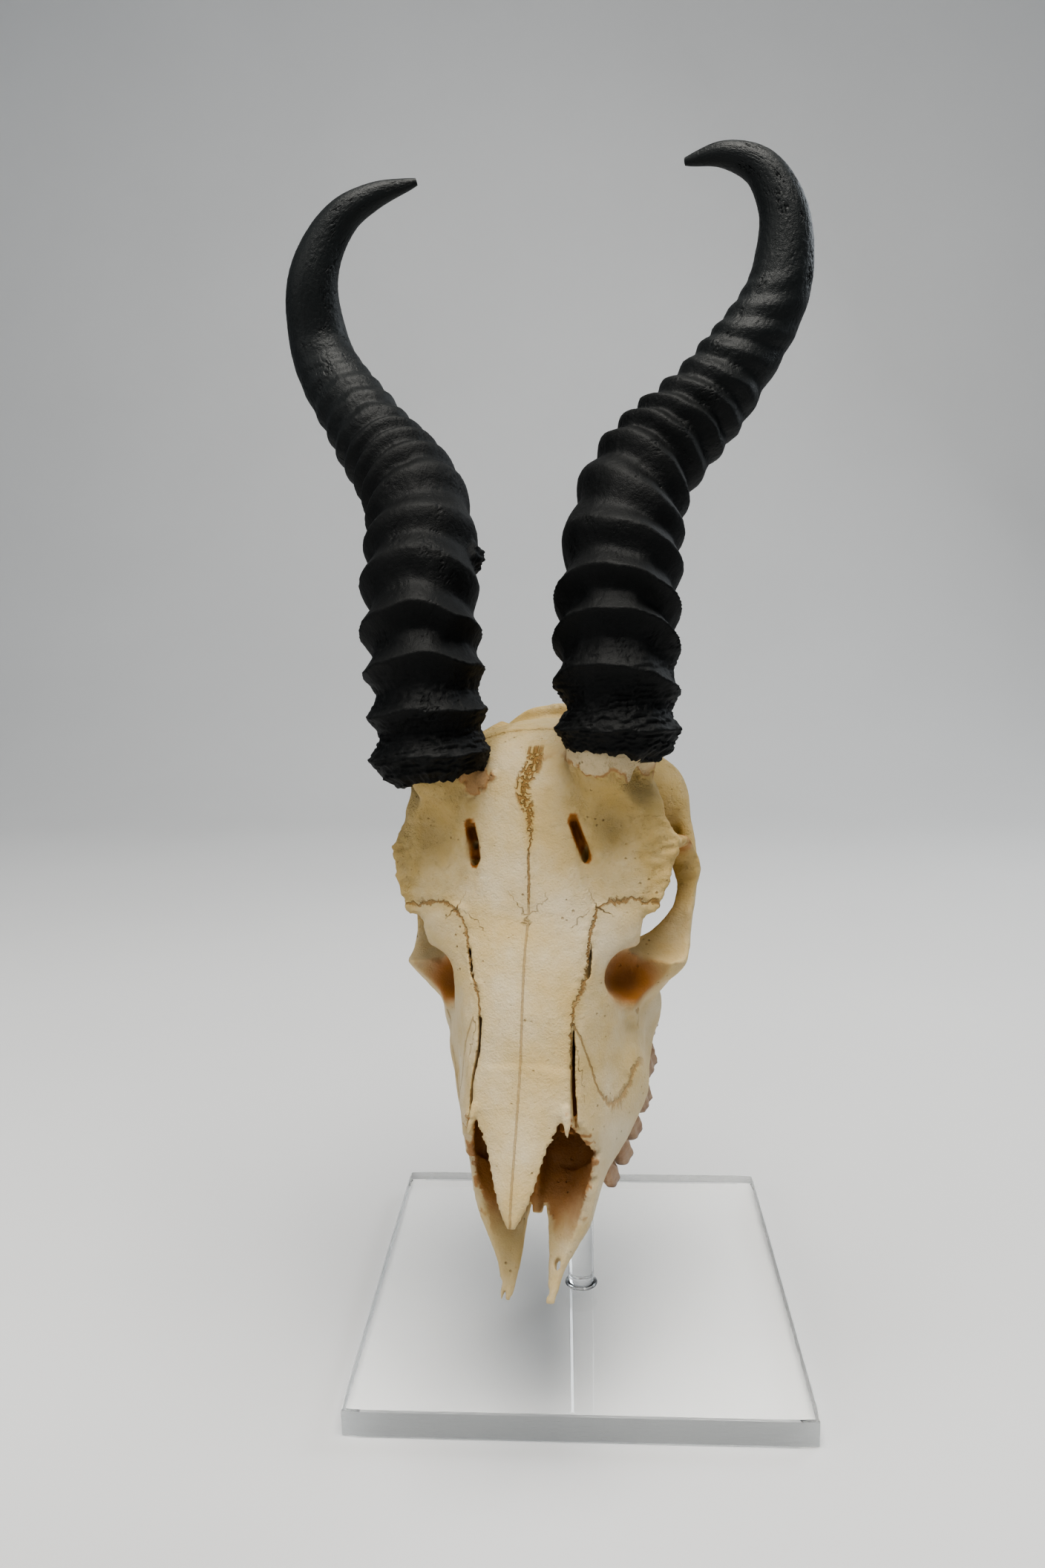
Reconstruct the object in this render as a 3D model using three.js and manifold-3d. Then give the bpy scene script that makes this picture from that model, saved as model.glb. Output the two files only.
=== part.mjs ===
// A springbok ram's skull with its horn sheaths and cheek teeth, held up by one rod on a clear plate.
// Millimetres, +Z up. The origin is the centre of the plate's underside, and the muzzle points to -Y.
import * as THREE from "three";
import { mergeVertices } from "three/addons/utils/BufferGeometryUtils.js";
import Module from "manifold-3d";

const wasm = await Module();
wasm.setup();

// Stand: a square plate and an upright rod that is set in a blind hole.
const PLATE_WIDTH = 152.4;
const PLATE_THICKNESS = 9.5;
const ROD_DIAMETER = 9.5;
const ROD_X = 0.8;
const ROD_Y = -4.9;
const ROD_TOP = 167;
const ROD_HOLE_DEPTH = 6.5;

// Clearance between pieces that touch.
const GAP = 0.35;

// Pose of the skull on the rod. In the skull's own frame +X is the animal's left, +Y runs back from
// the tip of the unbroken muzzle, and +Z rises from the plane of the palate.
const SKULL_PITCH = 43.3;
const SKULL_ROLL = -3.7;
const SKULL_YAW = -11.9;
const SKULL_ORIGIN = [-16.1, -105.2, 42.5];

// Cross-sections of the cranium along Y. Each half outline runs from the top midline over the
// shoulder, the upper side, the lower side and the tooth margin to the bottom midline.
const CRANIUM_SECTIONS = [
  { y: 44, outline: [[0, 34], [9, 33], [14, 22], [17, 9], [13, 1.5], [0, 3]] },
  { y: 60, outline: [[0, 39], [15.5, 36.5], [19.5, 26], [21.5, 13], [18, 0.5], [0, 4]] },
  { y: 75, outline: [[0, 45.5], [16, 42.5], [22.5, 30], [28, 13], [25.5, 0], [0, 5]] },
  { y: 91, outline: [[0, 53], [18, 49.5], [25.5, 36], [34, 14], [31, 0], [0, 6]] },
  { y: 106, outline: [[0, 58.5], [21, 55.5], [28, 42], [36, 18], [32, 0], [0, 6]] },
  { y: 119, outline: [[0, 63.5], [25, 61.5], [38, 54], [34, 24], [31, 0], [0, 6]] },
  { y: 130, outline: [[0, 69], [26, 66.5], [42, 60], [27, 32], [22, 12], [0, 15]] },
  { y: 142, outline: [[0, 76], [26, 73.5], [46, 66], [27, 42], [15, 18], [0, 18]] },
  { y: 152, outline: [[0, 81], [26, 80], [41, 73], [27, 48], [15, 20], [0, 18]] },
  { y: 165, outline: [[0, 85], [22, 83], [35, 72], [31, 52], [20, 22], [0, 16]] },
  { y: 180, outline: [[0, 81], [18, 78], [32, 65], [35.5, 47], [24, 20], [0, 14]] },
  { y: 195, outline: [[0, 68.5], [17, 66], [29, 54], [32, 40], [24, 18], [0, 12]] },
  { y: 206, outline: [[0, 55], [13, 52], [22, 42], [25, 31], [17, 16], [0, 12]] },
];

// The nasal passage inside it, open at the front.
const NASAL_PASSAGE_SECTIONS = [
  { y: 24, outline: [[0, 27], [7, 26.5], [11, 18], [13.5, 10], [10, 6], [0, 6.5]] },
  { y: 44, outline: [[0, 30], [8, 29.5], [11.5, 20], [14, 10], [10, 6], [0, 6.5]] },
  { y: 60, outline: [[0, 35.5], [12.5, 33.5], [16.5, 25], [18, 13], [14, 6], [0, 7]] },
  { y: 75, outline: [[0, 42], [13, 39.5], [19, 29], [20, 17], [15, 10], [0, 9]] },
  { y: 91, outline: [[0, 49], [15, 46], [21, 35], [23, 21], [16, 12], [0, 11]] },
  { y: 108, outline: [[0, 52], [14, 50], [20, 38], [21, 26], [14, 17], [0, 15]] },
];

// The pair of nasal bones, a thin arched blade that runs free past the front edge of the cheek bones.
const NASAL_SECTIONS = [
  { y: 34, outline: [[0, 31], [1.5, 30.6], [2.2, 29.6], [1.4, 28.6], [0, 28.4]] },
  { y: 45, outline: [[0, 35], [5, 34], [7.5, 32], [5, 31], [0, 31.5]] },
  { y: 57, outline: [[0, 39.5], [9, 38.4], [14, 35.5], [9, 35], [0, 36]] },
  { y: 62, outline: [[0, 41], [9, 40], [14.5, 37.5], [9, 36.6], [0, 37.5]] },
  { y: 82, outline: [[0, 49.5], [9, 48.5], [14.5, 45.5], [9, 45], [0, 46]] },
];

// Bars and processes: points along the left one, each with its half width and half height.
const PREMAXILLA = [
  [19, 68, 14, 2.2, 6], [17, 54, 9, 2.6, 5], [13, 40, 5.5, 3.4, 3.4],
  [9.5, 29, 3.6, 3, 2], [7.2, 22.6, 2.8, 1.6, 1.2],
];
const CHEEK_ARCH = [
  [33, 102, 24, 3, 8], [41, 117, 29, 3, 7.5], [46, 135, 29, 3, 6], [48, 152, 33, 3, 5.5],
  [46, 168, 38, 2.8, 4.5], [38, 182, 42, 3, 5], [30, 190, 43, 3, 5],
];
const ORBIT_BAR = [
  [42, 144, 65, 3, 4], [47.5, 150, 57, 2.6, 3.6], [49, 152, 46, 2.4, 3.8], [48, 152, 35, 2.6, 5],
];
const PTERYGOID = [[12, 122, 8, 1.5, 7], [12, 138, 9, 1.4, 9], [12, 158, 15, 1.4, 6]];
const JUGULAR_PROCESS = [[22, 196, 24, 4, 6], [24, 198, 10, 3, 4], [23, 197, -5, 1.6, 2]];

// Round swellings and hollows of the left side: centre, then half sizes.
const ORBIT_HOLLOW = { centre: [48, 140, 44], radii: [23, 21, 20.5] };
const TEAR_PIT = { centre: [42, 108, 40], radii: [11, 12, 10] };
const PEDICLE_SWELLING = { centre: [28, 157, 79], radii: [15.5, 14, 13] };
const EAR_BULLA = { centre: [17, 184, 10], radii: [8, 12, 9] };
const NECK_CONDYLE = { centre: [9.5, 205, 19], radii: [6.5, 7, 9] };
const FORAMEN_MAGNUM = { centre: [0, 200, 28], radii: [9, 16, 8.5] };

// The passage from the nose that opens behind the palate.
const CHOANA = [[0, 98, 28, 9, 10], [0, 122, 19, 9, 8], [0, 138, 10, 9, 7], [0, 152, 0, 9, 6]];

// The muzzle's open front slopes back from the premaxillae to the nasal notch.
const MUZZLE_CUT_FOOT = [46, 7];
const MUZZLE_CUT_HEAD = [62, 41];

// Cheek teeth from front to back: length along the row, width, and distance from the midline.
const CHEEK_TEETH = [
  { name: "premolar_2", length: 7, width: 5.5, x: 19.5 },
  { name: "premolar_3", length: 8, width: 7, x: 22.3 },
  { name: "premolar_4", length: 8.5, width: 8, x: 24.3 },
  { name: "molar_1", length: 11.5, width: 9.5, x: 26 },
  { name: "molar_2", length: 13, width: 10, x: 26.6 },
  { name: "molar_3", length: 13.5, width: 9.5, x: 26.2 },
];
const TOOTH_ROW_START = 60;
const TOOTH_CROWN_Z = -9;
const TOOTH_ROOT_Z = 6;

// Centre lines of the two horns from base to tip. The right tip opens further than the left one.
const HORN_STEM = [[31, 197, 118], [37, 238, 126.5], [61, 277, 132.5], [82, 307.5, 150]];
const LEFT_HORN_BASE = [29, 160.5, 90];
const RIGHT_HORN_BASE = [28.8, 157.3, 87.6];
const LEFT_HORN_TIP = [[83, 323, 165.5], [77, 330.5, 174], [66, 334, 178.5], [53, 335, 178]];
const RIGHT_HORN_TIP = [
  [80.5, 319, 168], [75, 327.5, 176], [66.5, 335, 181.5], [57.5, 340.5, 183], [42, 347, 182.5],
];

// Outer radius of a sheath against the share of its length, measured over the ring crests.
const SHEATH_RADII = [
  [0, 18.6], [0.2, 18.4], [0.3, 17.5], [0.374, 16], [0.47, 14.2], [0.52, 13.4],
  [0.65, 11.4], [0.77, 9.3], [0.83, 7.8], [0.89, 6], [0.945, 4], [0.97, 2.8], [1, 1.2],
];
const RING_COUNT = 15;
const RING_SPACING_LOW = 12;
const RING_SPACING_HIGH = 8.5;
const RING_VALLEY = 0.92;
const SAMPLES_PER_RING = 3;
const TIP_SAMPLES = 9;
const SHEATH_SIDES = 12;

// Bony core inside a sheath: it starts as a pedicle in the forehead.
const PEDICLE_ROOT = [27, 154, 62];
const CORE_BASE_RADIUS = 14.8;
const CORE_TIP_RADIUS = 3;
const CORE_LENGTH_SHARE = 0.62;
const CORE_SAMPLES = 7;

// Fineness of the surfaces.
const SECTION_POINTS = 10;
const SECTION_STEPS = 2;
const BAR_SIDES = 8;
const ROUND_DETAIL = 10;
const ORBIT_DETAIL = 14;
const TOOTH_SIDES = 8;
const ROD_SIDES = 24;

const finish = (color, roughness, more = {}) =>
  new THREE.MeshStandardMaterial({ color, roughness, metalness: 0, ...more });
const boneMaterial = () => finish(0xe6d9b8, 0.6);
const hornMaterial = () => finish(0x1c1e20, 0.45);
const toothMaterial = () => finish(0xb59a6a, 0.4);
const acrylicMaterial = () => finish(0xeef1f2, 0.05, { transparent: true, opacity: 0.35 });

// A closed triangle mesh as a solid, turned outward if it was wound the other way.
function solid(geometry) {
  const bare = geometry.clone();
  bare.deleteAttribute("normal");
  bare.deleteAttribute("uv");
  const merged = mergeVertices(bare, 1e-4);
  const vertProperties = new Float32Array(merged.attributes.position.array);
  const triVerts = new Uint32Array(merged.index.array);
  if (signedVolume(vertProperties, triVerts) < 0) {
    for (let i = 0; i < triVerts.length; i += 3) {
      [triVerts[i], triVerts[i + 1]] = [triVerts[i + 1], triVerts[i]];
    }
  }
  return new wasm.Manifold(new wasm.Mesh({ numProp: 3, vertProperties, triVerts }));
}

function signedVolume(positions, indices) {
  const corner = (i) => new THREE.Vector3().fromArray(positions, 3 * indices[i]);
  let sum = 0;
  for (let i = 0; i < indices.length; i += 3) {
    sum += corner(i).dot(corner(i + 1).cross(corner(i + 2)));
  }
  return sum / 6;
}

function meshOf(name, body, material) {
  const { vertProperties, triVerts } = body.getMesh();
  const geometry = new THREE.BufferGeometry();
  geometry.setAttribute("position", new THREE.BufferAttribute(new Float32Array(vertProperties), 3));
  geometry.setIndex(new THREE.BufferAttribute(new Uint32Array(triVerts), 1));
  geometry.computeVertexNormals();
  const mesh = new THREE.Mesh(geometry, material);
  mesh.name = name;
  return mesh;
}

// A skin over rings of equal point counts, closed by a fan at each end.
function loft(rings) {
  const sides = rings[0].length;
  const positions = rings.flat().flatMap((p) => [p.x, p.y, p.z]);
  const indices = [];
  for (let r = 0; r + 1 < rings.length; r++) {
    for (let i = 0; i < sides; i++) {
      const j = (i + 1) % sides;
      const [a, b, c, d] = [r * sides + i, r * sides + j, (r + 1) * sides + j, (r + 1) * sides + i];
      indices.push(a, b, c, a, c, d);
    }
  }
  [0, rings.length - 1].forEach((r, end) => {
    const middle = rings[r].reduce((sum, p) => sum.add(p), new THREE.Vector3()).divideScalar(sides);
    const hub = positions.length / 3;
    positions.push(middle.x, middle.y, middle.z);
    for (let i = 0; i < sides; i++) {
      const [a, b] = [r * sides + i, r * sides + ((i + 1) % sides)];
      indices.push(...(end === 0 ? [hub, b, a] : [hub, a, b]));
    }
  });
  const geometry = new THREE.BufferGeometry();
  geometry.setAttribute("position", new THREE.Float32BufferAttribute(positions, 3));
  geometry.setIndex(indices);
  return geometry;
}

// A smooth body through half outlines that are mirrored about the midline.
function sectionBody(sections) {
  const halves = sections.map(({ y, outline }) => {
    const curve = new THREE.CatmullRomCurve3(
      outline.map(([x, z]) => new THREE.Vector3(x, y, z)),
      false,
      "centripetal",
    );
    return curve.getPoints(SECTION_POINTS);
  });
  const columns = halves[0].map((_, i) => {
    const curve = new THREE.CatmullRomCurve3(halves.map((half) => half[i]), false, "centripetal");
    return curve.getPoints((sections.length - 1) * SECTION_STEPS);
  });
  const rings = columns[0].map((_, step) => {
    const half = columns.map((column) => column[step]);
    const other = half.slice(1, -1).reverse().map((p) => new THREE.Vector3(-p.x, p.y, p.z));
    return [...half, ...other];
  });
  return solid(loft(rings));
}

// Rings across a path; sizeAt gives each ring's two half sizes from its share of the path.
function ringsAlong(curve, shares, sizeAt, sides, up) {
  return shares.map((share) => {
    const centre = curve.getPointAt(share);
    const along = curve.getTangentAt(share);
    const across = new THREE.Vector3().crossVectors(along, up).normalize();
    const over = new THREE.Vector3().crossVectors(across, along);
    const [halfWidth, halfHeight] = sizeAt(share);
    return Array.from({ length: sides }, (_, i) => {
      const angle = (2 * Math.PI * i) / sides;
      return centre
        .clone()
        .addScaledVector(across, halfWidth * Math.cos(angle))
        .addScaledVector(over, halfHeight * Math.sin(angle));
    });
  });
}

// Straight-line reading of a list of [share, value, ...] rows.
function readTable(rows, share) {
  const last = rows.findIndex((row) => row[0] >= share);
  if (last <= 0) {
    return rows[Math.max(last, 0)].slice(1);
  }
  const [before, after] = [rows[last - 1], rows[last]];
  const mix = (share - before[0]) / (after[0] - before[0]);
  return before.slice(1).map((value, i) => THREE.MathUtils.lerp(value, after[i + 1], mix));
}

// Directions that steady the rings of a bar and of a horn.
const BAR_UP = new THREE.Vector3(0, 0.3, 1).normalize();
const HORN_FORWARD = new THREE.Vector3(0, -0.6, 0.8);

const evenShares = (steps) => Array.from({ length: steps + 1 }, (_, i) => i / steps);

// A bar of bone through points that carry their own half width and half height.
function bar(points, side) {
  const curve = new THREE.CatmullRomCurve3(points.map(([x, y, z]) => new THREE.Vector3(side * x, y, z)));
  const rows = points.map(([, , , width, height], i) => [i / (points.length - 1), width, height]);
  const shares = evenShares(points.length - 1);
  return solid(loft(ringsAlong(curve, shares, (share) => readTable(rows, share), BAR_SIDES, BAR_UP)));
}

function ellipsoid({ centre, radii }, side, detail = ROUND_DETAIL) {
  const geometry = new THREE.SphereGeometry(1, detail, detail / 2);
  geometry.scale(...radii);
  geometry.translate(side * centre[0], centre[1], centre[2]);
  return solid(geometry);
}

const onBothSides = (make) => make(1).add(make(-1));

const skullMatrix = new THREE.Matrix4()
  .makeRotationFromEuler(
    new THREE.Euler(
      THREE.MathUtils.degToRad(SKULL_PITCH),
      THREE.MathUtils.degToRad(SKULL_ROLL),
      THREE.MathUtils.degToRad(SKULL_YAW),
      "ZYX",
    ),
  )
  .setPosition(...SKULL_ORIGIN);

// An upright cylinder on the rod's axis, between two heights above the table.
function rodCylinder(radius, bottom, top) {
  const geometry = new THREE.CylinderGeometry(radius, radius, top - bottom, ROD_SIDES);
  geometry.rotateX(Math.PI / 2);
  geometry.translate(ROD_X, ROD_Y, (bottom + top) / 2);
  return geometry;
}

// Cheek teeth: a rounded block that narrows a little towards its root.
function toothBody({ length, width, x }, frontY, side, grow) {
  const middleY = frontY + length / 2;
  const levels = [
    [TOOTH_CROWN_Z - grow, 0.84],
    [TOOTH_CROWN_Z + 1.5, 1],
    [0, 0.96],
    [TOOTH_ROOT_Z + grow, 0.8],
  ];
  const rings = levels.map(([z, share]) =>
    Array.from({ length: TOOTH_SIDES }, (_, i) => {
      const angle = (2 * Math.PI * (i + 0.5)) / TOOTH_SIDES;
      const round = (value) => Math.sign(value) * Math.sqrt(Math.abs(value));
      const halfWidth = share * (width / 2) + grow;
      const halfLength = share * (length / 2) + grow;
      return new THREE.Vector3(
        side * x + halfWidth * round(Math.cos(angle)),
        middleY + halfLength * round(Math.sin(angle)),
        z,
      );
    }),
  );
  return solid(loft(rings));
}

function placedTeeth() {
  const placed = [];
  for (const [sideName, side] of [["left", 1], ["right", -1]]) {
    let frontY = TOOTH_ROW_START;
    for (const tooth of CHEEK_TEETH) {
      placed.push({ name: `${sideName}_${tooth.name}`, tooth, frontY, side });
      frontY += tooth.length + GAP;
    }
  }
  return placed;
}

// Horns: the base, the shared stem and the tip of one side as a smooth curve.
function hornCurve(base, tip, side) {
  const points = [base, ...HORN_STEM, ...tip].map(([x, y, z]) => new THREE.Vector3(side * x, y, z));
  const curve = new THREE.CatmullRomCurve3(points, false, "centripetal");
  curve.arcLengthDivisions = 400;
  return curve;
}

// Shares of the horn's length at each ring's crest and in the valley after it, then along the tip.
function sheathRows(curve) {
  const total = curve.getLength();
  const rows = [];
  let along = 0;
  for (let ring = 0; ring < RING_COUNT; ring++) {
    const spacing = THREE.MathUtils.lerp(RING_SPACING_LOW, RING_SPACING_HIGH, ring / (RING_COUNT - 1));
    for (let k = 0; k < SAMPLES_PER_RING; k++) {
      rows.push([(along + (spacing * k) / SAMPLES_PER_RING) / total, k === 0 ? 1 : RING_VALLEY]);
    }
    along += spacing;
  }
  const ringEnd = along / total;
  evenShares(TIP_SAMPLES).forEach((mix) => rows.push([THREE.MathUtils.lerp(ringEnd, 1, mix), 1]));
  return rows;
}

function sheathEnvelope(curve, grow) {
  const radiusAt = (share) => {
    const radius = readTable(SHEATH_RADII, share)[0] + grow;
    return [radius, radius];
  };
  const start = curve.getTangentAt(0).multiplyScalar(-grow);
  const rings = ringsAlong(curve, evenShares(20), radiusAt, SHEATH_SIDES, HORN_FORWARD);
  const foot = rings[0].map((p) => p.clone().add(start));
  return solid(loft([foot, ...rings]));
}

function sheathOuter(curve) {
  const rows = sheathRows(curve);
  const sizeAt = (share) => {
    const radius = readTable(SHEATH_RADII, share)[0] * readTable(rows, share)[0];
    return [radius, radius];
  };
  return solid(loft(ringsAlong(curve, rows.map(([share]) => share), sizeAt, SHEATH_SIDES, HORN_FORWARD)));
}

function hornCore(curve, side, grow) {
  const root = new THREE.Vector3(side * PEDICLE_ROOT[0], PEDICLE_ROOT[1], PEDICLE_ROOT[2]);
  const shares = evenShares(CORE_SAMPLES).map((mix) => mix * CORE_LENGTH_SHARE);
  const sizeAt = (share) => {
    const taper = share / CORE_LENGTH_SHARE;
    const radius = THREE.MathUtils.lerp(CORE_BASE_RADIUS, CORE_TIP_RADIUS, taper) + grow;
    return [radius, radius];
  };
  const rings = ringsAlong(curve, shares, sizeAt, SHEATH_SIDES, HORN_FORWARD);
  const shift = root.clone().sub(curve.getPointAt(0));
  const foot = rings[0].map((p) => p.clone().add(shift));
  return solid(loft([foot, ...rings]));
}

// A slab that removes everything in front of the muzzle's sloping edge.
function muzzleCut() {
  const [[footY, footZ], [headY, headZ]] = [MUZZLE_CUT_FOOT, MUZZLE_CUT_HEAD];
  const slope = (headY - footY) / (headZ - footZ);
  const reach = 60;
  const outline = new THREE.Shape();
  outline.moveTo(footY, footZ);
  outline.lineTo(footY + slope * reach, footZ + reach);
  outline.lineTo(footY - reach, footZ + reach);
  outline.lineTo(footY - reach, footZ);
  outline.closePath();
  const geometry = new THREE.ExtrudeGeometry(outline, { depth: 2 * reach, bevelEnabled: false });
  geometry.translate(0, 0, -reach);
  geometry.applyMatrix4(new THREE.Matrix4().set(0, 0, 1, 0, 1, 0, 0, 0, 0, 1, 0, 0, 0, 0, 0, 1));
  return solid(geometry);
}

function skullBody(horns) {
  let body = sectionBody(CRANIUM_SECTIONS).add(onBothSides((side) => ellipsoid(PEDICLE_SWELLING, side)));
  body = body.subtract(onBothSides((side) => ellipsoid(ORBIT_HOLLOW, side, ORBIT_DETAIL)));
  body = body.subtract(onBothSides((side) => ellipsoid(TEAR_PIT, side)));
  for (const { curve } of horns) {
    body = body.subtract(sheathEnvelope(curve, GAP));
  }
  for (const points of [CHEEK_ARCH, ORBIT_BAR, JUGULAR_PROCESS]) {
    body = body.add(onBothSides((side) => bar(points, side)));
  }
  body = body.add(onBothSides((side) => ellipsoid(EAR_BULLA, side)));
  body = body.subtract(sectionBody(NASAL_PASSAGE_SECTIONS)).subtract(muzzleCut()).subtract(bar(CHOANA, 1));
  for (const points of [PTERYGOID, PREMAXILLA]) {
    body = body.add(onBothSides((side) => bar(points, side)));
  }
  body = body.add(sectionBody(NASAL_SECTIONS));
  body = body.add(onBothSides((side) => ellipsoid(NECK_CONDYLE, side)));
  body = body.subtract(ellipsoid(FORAMEN_MAGNUM, 1));
  for (const { curve, side } of horns) {
    body = body.add(hornCore(curve, side, 0));
  }
  for (const { tooth, frontY, side } of placedTeeth()) {
    body = body.subtract(toothBody(tooth, frontY, side, GAP));
  }
  const socket = rodCylinder(ROD_DIAMETER / 2 + GAP, PLATE_THICKNESS, ROD_TOP + GAP);
  socket.applyMatrix4(skullMatrix.clone().invert());
  return body.subtract(solid(socket));
}

const HORNS = [
  { name: "left_horn_sheath", side: 1, curve: hornCurve(LEFT_HORN_BASE, LEFT_HORN_TIP, 1) },
  { name: "right_horn_sheath", side: -1, curve: hornCurve(RIGHT_HORN_BASE, RIGHT_HORN_TIP, -1) },
];

const skull = new THREE.Group();
skull.applyMatrix4(skullMatrix);
skull.add(meshOf("skull", skullBody(HORNS), boneMaterial()));
for (const { name, side, curve } of HORNS) {
  const sheath = sheathOuter(curve).subtract(hornCore(curve, side, GAP));
  skull.add(meshOf(name, sheath, hornMaterial()));
}
for (const { name, tooth, frontY, side } of placedTeeth()) {
  skull.add(meshOf(name, toothBody(tooth, frontY, side, 0), toothMaterial()));
}

const stand = new THREE.Group();
const plate = new THREE.BoxGeometry(PLATE_WIDTH, PLATE_WIDTH, PLATE_THICKNESS);
plate.translate(0, 0, PLATE_THICKNESS / 2);
const holeFloor = PLATE_THICKNESS - ROD_HOLE_DEPTH;
const hole = rodCylinder(ROD_DIAMETER / 2 + GAP, holeFloor, PLATE_THICKNESS + ROD_HOLE_DEPTH);
stand.add(meshOf("base_plate", solid(plate).subtract(solid(hole)), acrylicMaterial()));
const rod = solid(rodCylinder(ROD_DIAMETER / 2, holeFloor + GAP, ROD_TOP));
stand.add(meshOf("rod", rod, acrylicMaterial()));

const springbokSkull = new THREE.Group();
springbokSkull.add(skull, stand);

export default springbokSkull;
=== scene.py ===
# %% [markdown]
# # A springbok skull on a clear stand
# The object is a dry antelope skull with black, ringed horn sheaths and brown cheek teeth.
# A clear rod on a clear square plate holds it up, nose down.
# The frame gives the true size and place of each piece. This lesson makes the surfaces that the eye sees.

# %% Load the frame
import math

import bpy
import numpy as np
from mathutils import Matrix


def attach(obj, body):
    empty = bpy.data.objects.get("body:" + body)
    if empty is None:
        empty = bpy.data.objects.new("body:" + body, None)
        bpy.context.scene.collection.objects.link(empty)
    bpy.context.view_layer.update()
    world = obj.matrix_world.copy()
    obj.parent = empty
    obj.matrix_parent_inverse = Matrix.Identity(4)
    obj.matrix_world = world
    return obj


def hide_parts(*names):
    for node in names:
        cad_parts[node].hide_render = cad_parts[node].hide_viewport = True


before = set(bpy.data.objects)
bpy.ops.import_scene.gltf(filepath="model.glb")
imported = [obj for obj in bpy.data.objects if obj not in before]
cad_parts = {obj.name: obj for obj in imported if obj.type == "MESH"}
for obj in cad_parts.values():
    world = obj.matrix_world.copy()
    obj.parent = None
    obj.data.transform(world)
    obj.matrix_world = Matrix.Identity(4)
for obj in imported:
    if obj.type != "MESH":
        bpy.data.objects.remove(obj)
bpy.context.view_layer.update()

import openvdb as vdb
from mathutils import Euler, Matrix, Vector

print("pieces in the frame:", len(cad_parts))

# %% [markdown]
# ## The skull's own axes
# A skull is easiest to shape in its own axes, whatever way it hangs on its stand.
# Here x runs to the animal's left, y back from the muzzle's tip and z up from the palate, in millimetres.
# One matrix then carries every finished mesh to its place in the frame, in metres.

# %% Pose of the skull
MM = 0.001
SKULL_TURN = Euler((math.radians(43.3), math.radians(-3.7), math.radians(-11.9)), "XYZ")
SKULL_ORIGIN = Vector((-16.1, -105.2, 42.5))
skull_pose = Matrix.Scale(MM, 4) @ Matrix.Translation(SKULL_ORIGIN) @ SKULL_TURN.to_matrix().to_4x4()
pose_array = np.array(skull_pose)


def to_frame(points):
    """Skull millimetres to frame metres."""
    return np.asarray(points) @ pose_array[:3, :3].T + pose_array[:3, 3]


print("muzzle tip in the frame:", to_frame([0, 23, 3]).round(3))

# %% [markdown]
# ## The camera
# The picture was taken from a little above the forehead with a short lens.
# Its place was worked out from the corners of the square plate, so the plate's outline falls where it should.

# %% Camera
CAMERA_PLACE = Vector((4.52, -398.76, 266.49)) * MM
CAMERA_RIGHT = Vector((0.9984, 0.0546, -0.0170))
CAMERA_UP = Vector((0.0076, 0.1674, 0.9859))
LENS = 26.24
camera_data = bpy.data.cameras.new("camera")
camera_data.lens = LENS
camera_data.sensor_width = 36.0
camera = bpy.data.objects.new("camera", camera_data)
bpy.context.collection.objects.link(camera)
backwards = CAMERA_RIGHT.cross(CAMERA_UP).normalized()
sideways = CAMERA_UP.cross(backwards).normalized()
upwards = backwards.cross(sideways)
camera_turn = Matrix((sideways, upwards, backwards)).transposed().to_4x4()
camera.matrix_world = Matrix.Translation(CAMERA_PLACE) @ camera_turn
bpy.context.scene.camera = camera
print("camera height above the table:", round(CAMERA_PLACE.z, 3), "m")

# %% [markdown]
# ## Clay made of distances
# Bone has no corners: bars flow into plates and hollows have soft lips.
# Subdivision surfaces could do this, but every junction would have to be wired by hand.
# Instead, a block of cells stores the distance to the nearest bone surface, below zero inside.
# Adding and cutting shapes is then a soft minimum or maximum of two numbers.

# %% The clay block
VOXEL = 0.7
BAND = 9
REACH = BAND * VOXEL


def soft_min(a, b, radius):
    """The smaller of two distances, with a fillet of about this radius where they meet."""
    overlap = np.maximum(radius - np.abs(a - b), 0) / radius
    return np.minimum(a, b) - overlap * overlap * radius / 4


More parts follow.
